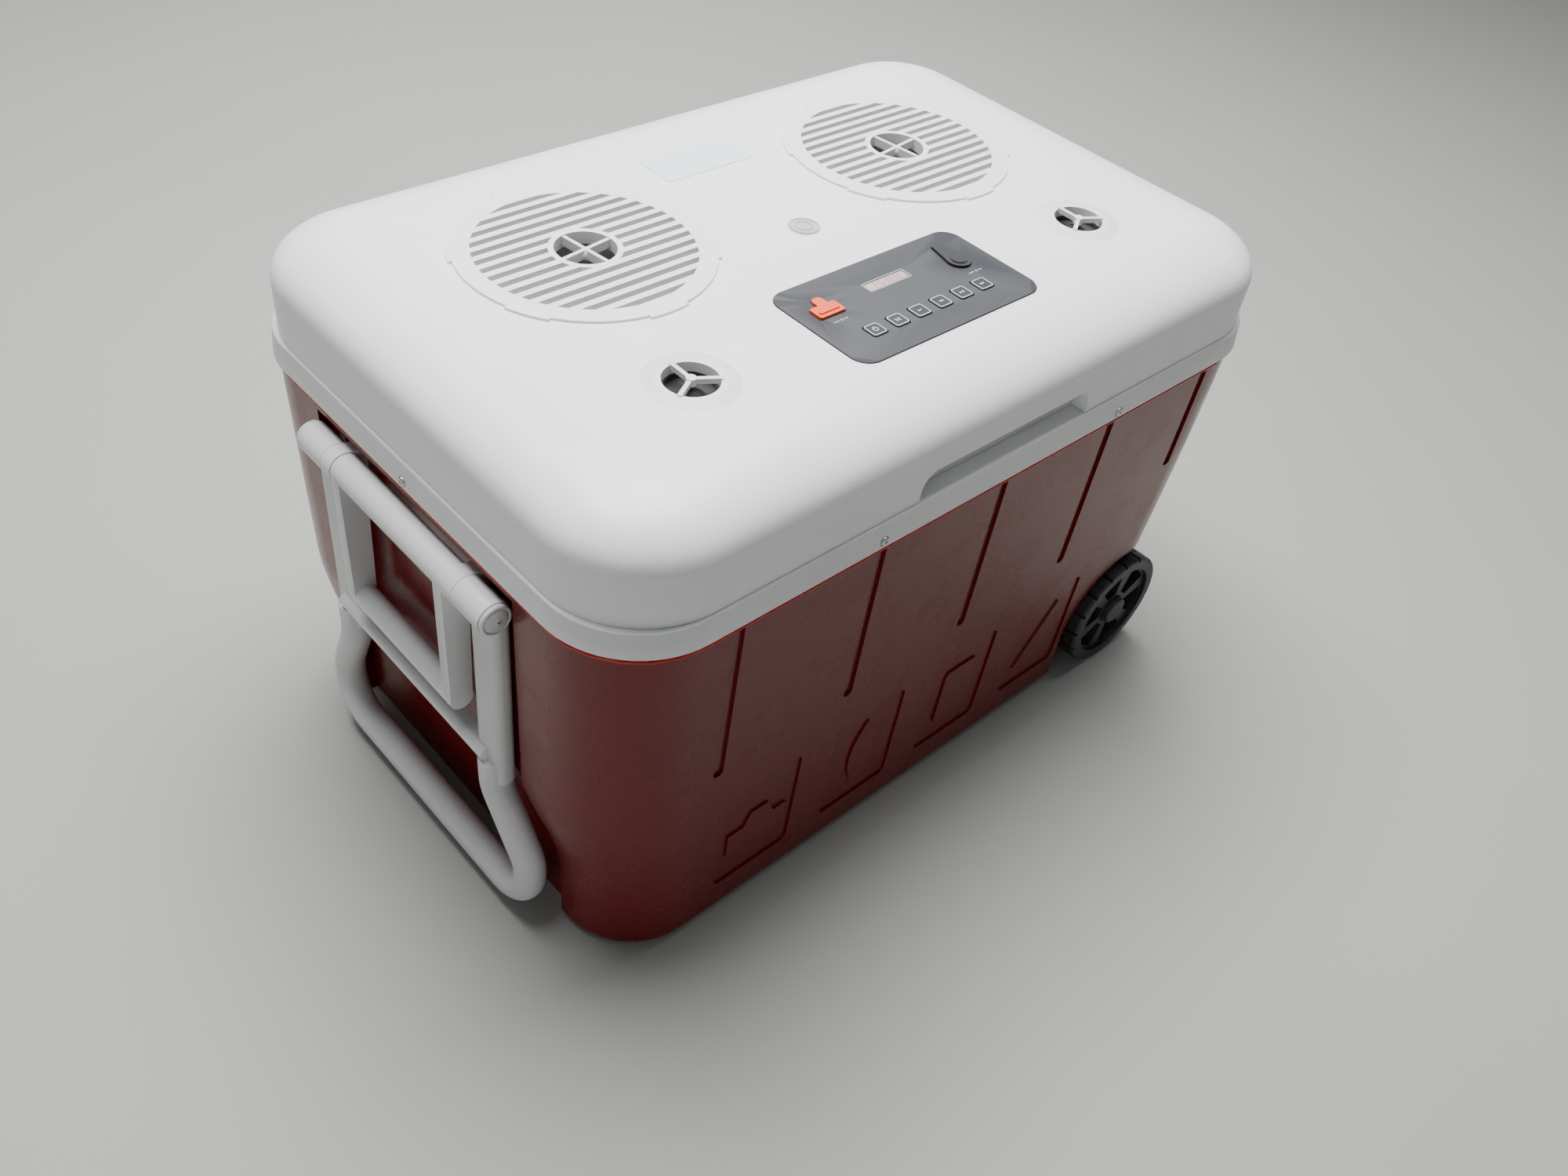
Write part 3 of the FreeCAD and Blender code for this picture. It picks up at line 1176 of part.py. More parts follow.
def badge():
    """Plain round disc with two raised rings."""
    x, y = BADGE_AT
    disc = rod(BADGE_R, V(x, y, HEIGHT), V(x, y, HEIGHT + 0.6))
    for r in (BADGE_R - 1.0, BADGE_R - 5.5):
        ring = rod(r, V(x, y, HEIGHT + 0.5), V(x, y, HEIGHT + 1.0))
        disc = disc.fuse(ring.cut(rod(r - 1.1, V(x, y, HEIGHT), V(x, y, HEIGHT + 3))))
    return disc.removeSplitter()


# ---------------------------------------------------------------- hinges
def hinge_screw_places(lower):
    """Screws of the rim leaves (lower) or of the lid leaves."""
    places = []
    for side in (-1, 1):
        for dx in (-20, 20):
            x = side * HINGE_X + dx
            if lower:
                places.append((V(x, HALF_Y + SKIN, RIM_Z + 7.5), Y_AXIS))
            else:
                places.append((V(x, HALF_Y + SKIN, LID_Z + 17.0), Y_AXIS))
    return places


def knuckle(x0, x1, radius):
    return rod(radius, V(x0, HINGE_Y, SPLIT_Z), V(x1, HINGE_Y, SPLIT_Z))


def hinge_body_leaf(side):
    """Rim leaf: plate on the white band with two outer knuckles."""
    cx = side * HINGE_X
    half = HINGE_W / 2
    plate = box(cx - half, cx + half, HALF_Y + 0.2, HALF_Y + SKIN, RIM_Z + 1, SPLIT_Z - 3)
    shapes = [plate]
    third = HINGE_W / 3
    for x0 in (cx - half, cx + half - third):
        neck = box(x0, x0 + third, HALF_Y + 0.2, HINGE_Y, SPLIT_Z - 6.5, SPLIT_Z - 1.5)
        shapes += [knuckle(x0, x0 + third, KNUCKLE_R), neck]
    leaf = fuse(shapes).cut(knuckle(cx - half - 1, cx + half + 1, HINGE_PIN_R))
    gap = knuckle(cx - third / 2 - SLIDE_GAP, cx + third / 2 + SLIDE_GAP, KNUCKLE_R + 0.6)
    leaf = leaf.cut([gap] + screw_holes(hinge_screw_places(lower=True), SCREW_R, 12))
    return leaf.removeSplitter()


def hinge_lid_leaf(side):
    """Lid leaf: plate on the lid's rear wall with the middle knuckle."""
    cx = side * HINGE_X
    half = HINGE_W / 2
    third = HINGE_W / 3
    z0 = LID_Z + 6.5
    plate = box(cx - half, cx + half, LID_HY, HALF_Y + SKIN, z0, LID_Z + 26)
    mid = third / 2 - SLIDE_GAP
    neck = box(cx - mid, cx + mid, HALF_Y - 1, HINGE_Y, SPLIT_Z + 1.5, z0 + 1)
    foot = box(cx - mid, cx + mid, LID_HY, HALF_Y, SPLIT_Z + 1.5, z0 + 1)
    leaf = fuse([plate, neck, foot, knuckle(cx - mid, cx + mid, KNUCKLE_R)])
    leaf = leaf.cut(knuckle(cx - half, cx + half, HINGE_PIN_R + PIVOT_GAP))
    return leaf.cut(screw_holes(hinge_screw_places(lower=False), SCREW_R, 12)).removeSplitter()


def hinge_pin(side):
    half = HINGE_W / 2
    return knuckle(side * HINGE_X - half, side * HINGE_X + half, HINGE_PIN_R)


def hinge_screws(lower):
    shank = 9.0
    return Part.makeCompound([
        screw(p, d, SCREW_HEAD_R - 0.6, SCREW_R, shank, 1.5) for p, d in hinge_screw_places(lower)])


# ---------------------------------------------------------------- drain
def drain_face_y():
    """Wall face at the top of the spout's flange, where it leans out most."""
    return wall_y(DRAIN_Z + DRAIN_CAP_R + 2.5)


def drain_spout():
    """Flanged tube through the rear wall, threaded part outside."""
    y = drain_face_y()
    inner_y = HALF_Y - TUB_WALL - TUB_DRAFT * (SPLIT_Z - DRAIN_Z)
    tube = rod(DRAIN_R, V(DRAIN_X, inner_y + 0.5, DRAIN_Z), V(DRAIN_X, y + 13, DRAIN_Z))
    flange = rod(DRAIN_CAP_R + 2.5, V(DRAIN_X, y + 0.3, DRAIN_Z), V(DRAIN_X, y + 2.3, DRAIN_Z))
    spout = tube.fuse(flange)
    return spout.cut(rod(DRAIN_R - 2.5, V(DRAIN_X, 0, DRAIN_Z), V(DRAIN_X, HALF_Y + 40, DRAIN_Z)))


def drain_cap():
    """Ribbed cap over the spout."""
    y = drain_face_y()
    cap = rod(DRAIN_CAP_R, V(DRAIN_X, y + 2.6, DRAIN_Z), V(DRAIN_X, y + 16.5, DRAIN_Z))
    rim = [e for e in cap.Edges if on_far_end(e, V(0, y + 16.5, 0), Y_AXIS)]
    cap = cap.makeFillet(2.0, rim)
    cap = cap.cut(rod(DRAIN_R + PIVOT_GAP, V(DRAIN_X, y, DRAIN_Z), V(DRAIN_X, y + 13.4, DRAIN_Z)))
    ribs = []
    for k in range(12):
        at = V(DRAIN_X + DRAIN_CAP_R + 1.2, 0, DRAIN_Z)
        rib = rod(2.0, V(at.x, y, at.z), V(at.x, y + 20, at.z))
        rib.rotate(V(DRAIN_X, 0, DRAIN_Z), Y_AXIS, 30 * k)
        ribs.append(rib)
    return cap.cut(ribs)


# ---------------------------------------------------------------- output
def nodes():
    """Every sub-part by node name."""
    made = {
        "outer_shell": outer_shell(),
        "insulation_foam": insulation_foam(),
        "inner_liner": inner_liner(),
        "rim_screws": Part.makeCompound([
            screw(p, d, SCREW_HEAD_R, SCREW_R, 12) for p, d in rim_screw_places()]),
        "bracket_screws": Part.makeCompound([
            screw(p, d, SCREW_HEAD_R, SCREW_R, 20) for p, d in bracket_screw_places()]),
        "handle_rod": handle_rod(),
        "axle": axle(),
        "drain_spout": drain_spout(),
        "drain_cap": drain_cap(),
        "hinge_body_screws": hinge_screws(lower=True),
        "hinge_lid_screws": hinge_screws(lower=False),
        "lid_shell": lid_shell(),
        "lid_liner": lid_liner(),
        "lid_foam": lid_foam(),
        "lid_gasket": gasket_ring(0, LID_Z + 1.5),
        "control_panel": control_panel(),
        "display_window": display_window(),
        "circuit_board": circuit_board(),
        "tact_switches": tact_switches(),
        "amplifier": amplifier(),
        "battery": battery(),
        "usb_socket": usb_socket(),
        "aux_socket": aux_socket(),
        "usb_cover": usb_cover(),
        "aux_cover": aux_cover(),
        "name_plate": name_plate(),
        "badge": badge(),
        "tow_handle": tow_handle(),
        "carry_handle": carry_handle(),
    }
    for side, word in ((-1, "front"), (1, "back")):
        made["handle_bracket_" + word] = handle_bracket(side)
        made["wheel_" + word] = wheel(side)
        made["hub_cap_" + word] = hub_cap(side)
    for side, word in ((-1, "left"), (1, "right")):
        made["hinge_body_leaf_" + word] = hinge_body_leaf(side)
        made["hinge_lid_leaf_" + word] = hinge_lid_leaf(side)
        made["hinge_pin_" + word] = hinge_pin(side)
        made["woofer_grille_" + word] = woofer_grille(side)
        made["woofer_basket_" + word] = woofer_basket(side)
        made["woofer_cone_" + word] = woofer_cone(side)
        made["woofer_magnet_" + word] = woofer_magnet(side)
        made["tweeter_guard_" + word] = tweeter_guard(side)
        made["tweeter_" + word] = tweeter(side)
    for k, word in enumerate(KEY_NAMES):
        made["key_" + word] = key(k)
    return made


def write(made):
    for name, shape in made.items():
        solids = [s for s in shape.Solids if s.Volume > 1.0]
        out = solids[0] if len(solids) == 1 else Part.makeCompound(solids)
        out.exportStep("parts/" + name + ".step")
        print("%-24s %2d solids %12.0f mm3 %s" % (name, len(solids), out.Volume, out.isValid()))


write(nodes())
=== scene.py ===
import json
import math

import bpy
from mathutils import Matrix, Vector


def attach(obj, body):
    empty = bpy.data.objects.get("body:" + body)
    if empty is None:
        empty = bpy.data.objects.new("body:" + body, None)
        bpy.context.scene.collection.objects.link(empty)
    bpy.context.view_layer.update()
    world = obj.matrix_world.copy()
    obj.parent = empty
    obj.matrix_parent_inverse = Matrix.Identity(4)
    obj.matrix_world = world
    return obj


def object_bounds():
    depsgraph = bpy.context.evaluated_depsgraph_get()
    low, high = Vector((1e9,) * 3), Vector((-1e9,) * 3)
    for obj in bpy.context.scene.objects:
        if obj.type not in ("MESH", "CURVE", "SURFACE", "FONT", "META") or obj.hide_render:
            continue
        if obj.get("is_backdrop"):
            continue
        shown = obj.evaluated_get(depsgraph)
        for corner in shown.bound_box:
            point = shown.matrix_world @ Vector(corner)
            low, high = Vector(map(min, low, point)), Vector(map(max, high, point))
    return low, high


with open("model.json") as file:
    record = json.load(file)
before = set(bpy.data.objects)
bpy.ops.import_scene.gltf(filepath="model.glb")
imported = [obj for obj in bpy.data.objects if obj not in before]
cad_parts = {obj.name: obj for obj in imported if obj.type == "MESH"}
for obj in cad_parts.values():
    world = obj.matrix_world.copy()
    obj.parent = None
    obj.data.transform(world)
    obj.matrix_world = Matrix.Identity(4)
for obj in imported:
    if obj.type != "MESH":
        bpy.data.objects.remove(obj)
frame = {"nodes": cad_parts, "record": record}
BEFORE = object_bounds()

# ---- Control panel ----
PANEL_TOP = 0.4408        # top face of the control panel
KEY_TOP = 0.4415          # top face of the keys
KEY_Y = -0.1343           # row of keys
KEY_PITCH = 0.0223
KEYS = ("power", "mode", "tone", "back", "play", "next")
KEY_FRAME = (0.0062, 0.0062, 0.0021)            # half sides and corner radius
KEY_FRAME_INNER = (0.0055, 0.0055, 0.0015)
MARK_UNIT = 0.001         # unit of the marks on the keys
POWER_RING = (0.0024, 0.0018)                   # outer and inner radius
PRINT_SINK = 0.00005      # a print starts this far inside its surface
KEY_PRINT_H = 0.00012     # and stands this far proud, on a key
PANEL_PRINT_H = 0.0001    # and on the panel

# ---- Display ----
DISPLAY_Y = -0.0923
DISPLAY_FRAME_X = -0.002
DISPLAY_FRAME = (0.0212, 0.0057, 0.0016)        # half sides and corner radius
DISPLAY_FRAME_INNER = (0.0207, 0.0052, 0.0012)
DIGIT_Z = (0.44045, 0.44062)                    # underside and top
DIGIT_SIZE = (0.0036, 0.0054)
DIGIT_FIRST_X = -0.0155
DIGIT_PITCH = 0.0078
DIGIT_BARS = ("bc", "afgcd", "abcdef", "abcdef")
BAR_T = 0.00085           # thickness of a digit's bar
BAR_FILL = 0.86           # share of its place that a bar fills
DIGIT_SLANT = 0.12
COLON_X = -0.0033
COLON_ROOM = 0.0012       # extra room that the digits leave for the colon
COLON_RISE = 0.0012       # from the middle of the colon to each dot
COLON_R = 0.0004

# ---- Socket marks, one by each cover ----
SOCKET_MARKS = ((-0.068, -0.1125), (0.065, -0.119))
SOCKET_DASHES = ((-0.004, 0.0055), (0.0055, 0.0035))     # offset and length
SOCKET_DASH_W = 0.0006
SOCKET_RING_X = 0.0015
SOCKET_RING = (0.0011, 0.0007)                  # outer and inner radius

# ---- Lip line of painted highlight, and rod caps ----
LIP_MID_X = 0.0001
LIP_OUTLINE = (0.3464, 0.2281, 0.0696)          # half sides and corner radius
LIP_Z = 0.3416
LIP_R = 0.0014
LIP_SIDES = 10
CAP_AT = (-0.355, 0.1142, 0.320)
CAP_SIDES = 48
CAP_PROFILE = (           # radius and distance outwards
    (0.0100, 0.0), (0.0118, 0.0004), (0.0122, 0.0016), (0.0116, 0.0030), (0.0104, 0.0036),
    (0.0098, 0.0034), (0.0094, 0.0028), (0.0088, 0.0034), (0.0075, 0.0042), (0.0045, 0.0048),
    (0.0008, 0.0050))

# ---- Finishes ----
COAT_ROUGHNESS = 0.18
SHELL_SPECULAR = 0.3
BLOTCH_SCALE = 7.0
SMUDGE_SCALE = 23.0
SMUDGE_ROUGHNESS = 0.13   # added to the roughness where a smudge is
WAVE_SCALE = 5.0
WAVE_DEPTH = 0.004
GRAIN_DEPTH = 0.0003
SOFT_GRAIN_DEPTH = 0.0004
EDGE_FROM = 0.535         # pointiness at which edge wear starts
EDGE_TO = 0.60            # and at which it is full
DULL = 0.72               # brightness of a dull patch on metal

# ---- Floor, light and camera ----
FLOOR_HALF = 9.0
FLOOR_COLOR = (0.40, 0.41, 0.38)
FLOOR_OTHER = (0.36, 0.37, 0.35)
FLOOR_ROUGHNESS = 0.85
LIGHTS = (                # name, place, target, size, power
    ("sky", (0.15, 0.45, 2.3), (0, 0, 0.35), (1.7, 1.5), 138),
    ("back", (1.2, 1.9, 1.3), (0, 0, 0.3), (1.6, 1.2), 14),
    ("fill", (-2.2, -1.2, 1.1), (0, 0, 0.2), (1.2, 1.0), 6))
WORLD_COLOR = (0.82, 0.86, 0.9, 1)
WORLD_STRENGTH = 0.16
CAMERA_AT = (-0.6826, -0.6479, 0.9446)
CAMERA_RIGHT = (0.7355, -0.6686, 0.1091)
CAMERA_UP = (0.4033, 0.5616, 0.7225)
CAMERA_LENS = 31.29       # mm
CAMERA_SENSOR = 36.0      # mm
CAMERA_NEAR = 0.02


# ---------------------------------------------------------------- materials
def shader(name, color, rough, metal=0.0, coat=0.0, sheen=0.0):
    """New material: itself, its node tree and its Principled shader."""
    mat = bpy.data.materials.new(name)
    mat.use_nodes = True
    tree = mat.node_tree
    bsdf = tree.nodes["Principled BSDF"]
    bsdf.inputs["Base Color"].default_value = (*color, 1)
    bsdf.inputs["Roughness"].default_value = rough
    bsdf.inputs["Metallic"].default_value = metal
    bsdf.inputs["Coat Weight"].default_value = coat
    bsdf.inputs["Coat Roughness"].default_value = COAT_ROUGHNESS
    bsdf.inputs["Sheen Weight"].default_value = sheen
    return mat, tree, bsdf


def noise(tree, scale, detail=4.0, rough=0.55, stretch=(1, 1, 1)):
    """Noise factor in object space."""
    coord = tree.nodes.new("ShaderNodeTexCoord")
    mapping = tree.nodes.new("ShaderNodeMapping")
    mapping.inputs["Scale"].default_value = stretch
    tex = tree.nodes.new("ShaderNodeTexNoise")
    tex.inputs["Scale"].default_value = scale
    tex.inputs["Detail"].default_value = detail
    tex.inputs["Roughness"].default_value = rough
    tree.links.new(coord.outputs["Object"], mapping.inputs["Vector"])
    tree.links.new(mapping.outputs["Vector"], tex.inputs["Vector"])
    return tex.outputs["Fac"]


def spread(tree, fac, low, high, to_low, to_high):
    """Remap a factor to a range."""
    node = tree.nodes.new("ShaderNodeMapRange")
    node.inputs["From Min"].default_value = low
    node.inputs["From Max"].default_value = high
    node.inputs["To Min"].default_value = to_low
    node.inputs["To Max"].default_value = to_high
    tree.links.new(fac, node.inputs["Value"])
    return node.outputs["Result"]


def mix(tree, fac, one, two):
    """Blend two colours or sockets by a factor."""
    node = tree.nodes.new("ShaderNodeMix")
    node.data_type = "RGBA"
    tree.links.new(fac, node.inputs["Factor"])
    for socket, value in ((node.inputs[6], one), (node.inputs[7], two)):
        if isinstance(value, tuple):
            socket.default_value = (*value, 1)
        else:
            tree.links.new(value, socket)
    return node.outputs[2]


def bumps(tree, bsdf, layers):
    """Chain bump layers: (factor, strength, distance)."""
    last = None
    for fac, strength, distance in layers:
        node = tree.nodes.new("ShaderNodeBump")
        node.inputs["Strength"].default_value = strength
        node.inputs["Distance"].default_value = distance
        tree.links.new(fac, node.inputs["Height"])
        if last is not None:
            tree.links.new(last, node.inputs["Normal"])
        last = node.outputs["Normal"]
    tree.links.new(last, bsdf.inputs["Normal"])


def edges(tree):
    """Bright on convex edges, dark elsewhere."""
    geo = tree.nodes.new("ShaderNodeNewGeometry")
    return spread(tree, geo.outputs["Pointiness"], EDGE_FROM, EDGE_TO, 0.0, 1.0)


def moulded(name, color, other, worn, rough, grain=900.0, grain_bump=0.12, coat=0.0, swell=0.12):
    """Moulded plastic: blotches, smudges, fine grain, and worn edges unless worn is None."""
    mat, tree, bsdf = shader(name, color, rough, coat=coat)
    blotch = spread(tree, noise(tree, BLOTCH_SCALE), 0.35, 0.7, 0.0, 1.0)
    smudge = spread(tree, noise(tree, SMUDGE_SCALE, 6.0, 0.65), 0.4, 0.75, 0.0, 1.0)
    tint = mix(tree, blotch, color, other)
    painted = mix(tree, edges(tree), tint, worn) if worn else tint
    tree.links.new(painted, bsdf.inputs["Base Color"])
    rougher = spread(tree, smudge, 0, 1, rough, rough + SMUDGE_ROUGHNESS)
    tree.links.new(rougher, bsdf.inputs["Roughness"])
    waves = noise(tree, WAVE_SCALE, 2.0)
    fine = noise(tree, grain, 2.0)
    bumps(tree, bsdf, [(waves, swell, WAVE_DEPTH), (fine, grain_bump, GRAIN_DEPTH)])
    return mat


def metal(name, color, rough, stretch):
    """Plated or cast metal with a drawn grain and dull patches."""
    mat, tree, bsdf = shader(name, color, rough, metal=1.0)
    grain = noise(tree, 420.0, 3.0, 0.6, stretch)
    patch = spread(tree, noise(tree, 60.0), 0.3, 0.75, 0.0, 1.0)
    dull = tuple(c * DULL for c in color)
    tree.links.new(mix(tree, patch, color, dull), bsdf.inputs["Base Color"])
    tree.links.new(spread(tree, grain, 0.3, 0.7, rough - 0.08, rough + 0.16), bsdf.inputs["Roughness"])
    bumps(tree, bsdf, [(grain, 0.2, GRAIN_DEPTH)])
    return mat


def soft_touch(name, color, rough, scale=1400.0, sheen=0.15):
    """Rubber, paper or foam: open grain, dusty patches, a little sheen."""
    mat, tree, bsdf = shader(name, color, rough, sheen=sheen)
    dust = spread(tree, noise(tree, 34.0, 5.0), 0.45, 0.8, 0.0, 0.35)
    pale = tuple(min(1.0, c * 1.3 + 0.03) for c in color)
    tree.links.new(mix(tree, dust, color, pale), bsdf.inputs["Base Color"])
    rougher = spread(tree, dust, 0, 1, rough, min(1.0, rough + 0.2))
    tree.links.new(rougher, bsdf.inputs["Roughness"])
    bumps(tree, bsdf, [(noise(tree, scale, 3.0), 0.3, SOFT_GRAIN_DEPTH)])
    return mat


# Moulded finishes: colour, blotch colour, worn edge colour, roughness.
MATS = {
    "lid_white": moulded(
        "lid white", (0.87, 0.87, 0.87), (0.84, 0.84, 0.845), (0.9, 0.9, 0.9), 0.30),
    "rim_white": moulded(
        "rim white", (0.74, 0.75, 0.75), (0.69, 0.70, 0.70), (0.84, 0.84, 0.84), 0.33),
    "handle_white": moulded(
        "handle white", (0.68, 0.69, 0.69), (0.61, 0.62, 0.62), (0.78, 0.78, 0.78), 0.36,
        grain=600.0, grain_bump=0.2),
    "grille_white": moulded(
        "grille white", (0.78, 0.79, 0.80), (0.72, 0.73, 0.75), (0.86, 0.86, 0.87), 0.34),
    "shell_red": moulded(
        "shell red", (0.150, 0.0012, 0.0020), (0.138, 0.0011, 0.0020), None, 0.22,
        grain=1100.0, grain_bump=0.10, coat=0.10, swell=0.03),
    "wheel_black": moulded(
        "wheel black", (0.018, 0.018, 0.019), (0.032, 0.031, 0.029), (0.075, 0.075, 0.072), 0.48,
        grain=500.0, grain_bump=0.3),
    "panel_dark": moulded(
        "panel dark", (0.016, 0.018, 0.024), (0.020, 0.023, 0.030), (0.05, 0.053, 0.06), 0.5,
        grain=1500.0, grain_bump=0.15),
    "key_dark": moulded(
        "key dark", (0.019, 0.021, 0.028), (0.024, 0.027, 0.034), (0.06, 0.062, 0.07), 0.46),
    "display": moulded(
        "display window", (0.30, 0.31, 0.32), (0.25, 0.26, 0.27), (0.4, 0.4, 0.4), 0.1, coat=0.6),
    "label": moulded(
        "label film", (0.50, 0.76, 0.86), (0.56, 0.80, 0.88), (0.7, 0.88, 0.92), 0.22, coat=0.3),
    "badge_grey": moulded(
        "badge grey", (0.50, 0.51, 0.53), (0.44, 0.45, 0.47), (0.4, 0.4, 0.42), 0.3),
    "board": moulded(
        "board green", (0.012, 0.075, 0.03), (0.02, 0.10, 0.04), (0.2, 0.2, 0.1), 0.35),
    "battery_case": moulded(
        "battery case", (0.03, 0.03, 0.032), (0.045, 0.045, 0.05), (0.1, 0.1, 0.1), 0.4),
    "steel": metal("zinc plate", (0.60, 0.60, 0.59), 0.34, (1, 1, 6)),
    "aluminium": metal("aluminium", (0.70, 0.71, 0.72), 0.4, (8, 1, 1)),
    "magnet": metal("ferrite", (0.10, 0.10, 0.11), 0.6, (1, 1, 1)),
    "basket_black": moulded(
        "basket black", (0.012, 0.012, 0.013), (0.02, 0.02, 0.02), (0.08, 0.08, 0.08), 0.4),
    "cone_black": soft_touch("cone paper", (0.016, 0.016, 0.018), 0.75),
    "foam": soft_touch("foam", (0.72, 0.62, 0.36), 0.9, 500.0),
    "gasket": soft_touch("gasket", (0.35, 0.35, 0.35), 0.7),
    "orange_rubber": soft_touch("orange rubber", (0.85, 0.085, 0.012), 0.5, sheen=0.1),
    "black_rubber": soft_touch("black rubber", (0.012, 0.012, 0.013), 0.5, sheen=0.1),
}
SHELL_BSDF = MATS["shell_red"].node_tree.nodes["Principled BSDF"]
SHELL_BSDF.inputs["Specular IOR Level"].default_value = SHELL_SPECULAR
PRINT = moulded("print grey", (0.50, 0.52, 0.55), (0.44, 0.46, 0.49), (0.6, 0.6, 0.62), 0.45)
# brighter red for the lip bead: a painted highlight along the shell's lip, not the shell's own colour
LIP_HIGHLIGHT = moulded("lip highlight red", (0.50, 0.008, 0.006), (0.45, 0.006, 0.005), (0.6, 0.02, 0.01), 0.2)
DIGITS = moulded("digit red", (0.85, 0.03, 0.04), (0.8, 0.02, 0.03), (0.9, 0.1, 0.1), 0.4)

for part in frame["record"]["subparts"]:
    node = frame["nodes"][part["node"]]
    node.data.materials.clear()
    node.data.materials.append(MATS[part["material_slot"]])


# ---------------------------------------------------------------- outlines and meshes
def mesh_of(name, verts, faces, mat, body, smooth=False):
    """New piece that rides on a CAD body."""
    mesh = bpy.data.meshes.new(name)
    mesh.from_pydata(verts, [], faces)
    mesh.materials.append(mat)
    mesh.update()
    piece = bpy.data.objects.new(name, mesh)
    bpy.context.scene.collection.objects.link(piece)
    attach(piece, body)
    if smooth:
        for face in piece.data.polygons:
            face.use_smooth = True


def add_prism(verts, faces, outline, z0, z1):
    """Closed prism over an outline of (x, y) points."""
    n = len(outline)
    base = len(verts)
    verts += [(x, y, z0) for x, y in outline] + [(x, y, z1) for x, y in outline]
    faces.append([base + i for i in reversed(range(n))])
    faces.append([base + n + i for i in range(n)])
    for i in range(n):
        j = (i + 1) % n
        faces.append([base + i, base + j, base + n + j, base + n + i])


def add_ring(verts, faces, outer, inner, z0, z1):
    """Flat ring between two outlines with the same number of points."""
    n = len(outer)
    base = len(verts)
    for z in (z0, z1):
        verts += [(x, y, z) for x, y in outer] + [(x, y, z) for x, y in inner]
    for i in range(n):
        j = (i + 1) % n
        faces.append([base + 2 * n + i, base + 2 * n + j, base + 3 * n + j, base + 3 * n + i])
        faces.append([base + j, base + i, base + n + i, base + n + j])
        faces.append([base + i, base + j, base + 2 * n + j, base + 2 * n + i])
        faces.append([base + n + j, base + n + i, base + 3 * n + i, base + 3 * n + j])


def rounded(cx, cy, half_x, half_y, r, steps=6):
    """Rounded rectangle about its middle."""
    points = []
    for k, (sx, sy) in enumerate(((1, 1), (-1, 1), (-1, -1), (1, -1))):
        for i in range(steps + 1):
            a = math.radians(90 * k + 90 * i / steps)
            points.append((cx + sx * (half_x - r) + r * math.cos(a),
                           cy + sy * (half_y - r) + r * math.sin(a)))
    return points


def circle(cx, cy, r, count=28):
    return [(cx + r * math.cos(2 * math.pi * i / count), cy + r * math.sin(2 * math.pi * i / count))
            for i in range(count)]


def bar(cx, cy, w, h):
    """Rectangle about its middle."""
    return [(cx - w / 2, cy - h / 2), (cx + w / 2, cy - h / 2),
            (cx + w / 2, cy + h / 2), (cx - w / 2, cy + h / 2)]


def triangle(cx, cy, size, way):
    """Arrowhead along X; way is 1 or -1."""
    return [(cx - way * size / 2, cy - size / 2), (cx + way * size / 2, cy),
            (cx - way * size / 2, cy + size / 2)]


# ---------------------------------------------------------------- printed marks
def icon(name, cx, cy):
    """Solid outlines of a key's plain mark."""
    u = MARK_UNIT
    if name == "power":
        return [bar(cx, cy + 1.4 * u, 0.7 * u, 2.6 * u)]
    if name == "mode":
        return [bar(cx - 1.6 * u, cy, 0.7 * u, 3.6 * u), bar(cx, cy, 0.7 * u, 2.2 * u),
                bar(cx + 1.6 * u, cy, 0.7 * u, 3.6 * u)]
    if name == "tone":
        return [bar(cx, cy, 4.0 * u, 0.6 * u), bar(cx - 1.1 * u, cy, 1.0 * u, 2.0 * u)]
    if name == "back":
        return [triangle(cx + 1.0 * u, cy, 2.2 * u, -1), triangle(cx - 1.1 * u, cy, 2.2 * u, -1)]
    if name == "play":
        return [triangle(cx - 1.0 * u, cy, 2.4 * u, 1), bar(cx + 1.0 * u, cy, 0.5 * u, 2.4 * u),
                bar(cx + 2.0 * u, cy, 0.5 * u, 2.4 * u)]
    return [triangle(cx - 1.0 * u, cy, 2.2 * u, 1), triangle(cx + 1.1 * u, cy, 2.2 * u, 1)]


def key_print(k, name):
    """Rounded-square outline and mark on a key's top."""
    cx = (k - 2.5) * KEY_PITCH
    verts, faces = [], []
    z0, z1 = KEY_TOP - PRINT_SINK, KEY_TOP + KEY_PRINT_H
    add_ring(verts, faces, rounded(cx, KEY_Y, *KEY_FRAME), rounded(cx, KEY_Y, *KEY_FRAME_INNER), z0, z1)
    for outline in icon(name, cx, KEY_Y):
        add_prism(verts, faces, outline, z0, z1)
    if name == "power":
        outer, inner = [circle(cx, KEY_Y, r) for r in POWER_RING]
        add_ring(verts, faces, outer, inner, z0, z1)
    mesh_of("print_" + name, verts, faces, PRINT, "key_" + name)


def seven_segments(cx, cy, w, h, lit):
    """Lit bars of one digit, leaning a little."""
    t = BAR_T
    places = {
        "a": (0, h / 2, w, t), "g": (0, 0, w, t), "d": (0, -h / 2, w, t),
        "f": (-w / 2, h / 4, t, h / 2), "b": (w / 2, h / 4, t, h / 2),
        "e": (-w / 2, -h / 4, t, h / 2), "c": (w / 2, -h / 4, t, h / 2)}
    outlines = []
    for name in lit:
        dx, dy, wide, high = places[name]
        points = bar(cx + dx, cy + dy, wide * BAR_FILL, high * BAR_FILL)
        outlines.append([(x + (y - cy) * DIGIT_SLANT, y) for x, y in points])
    return outlines


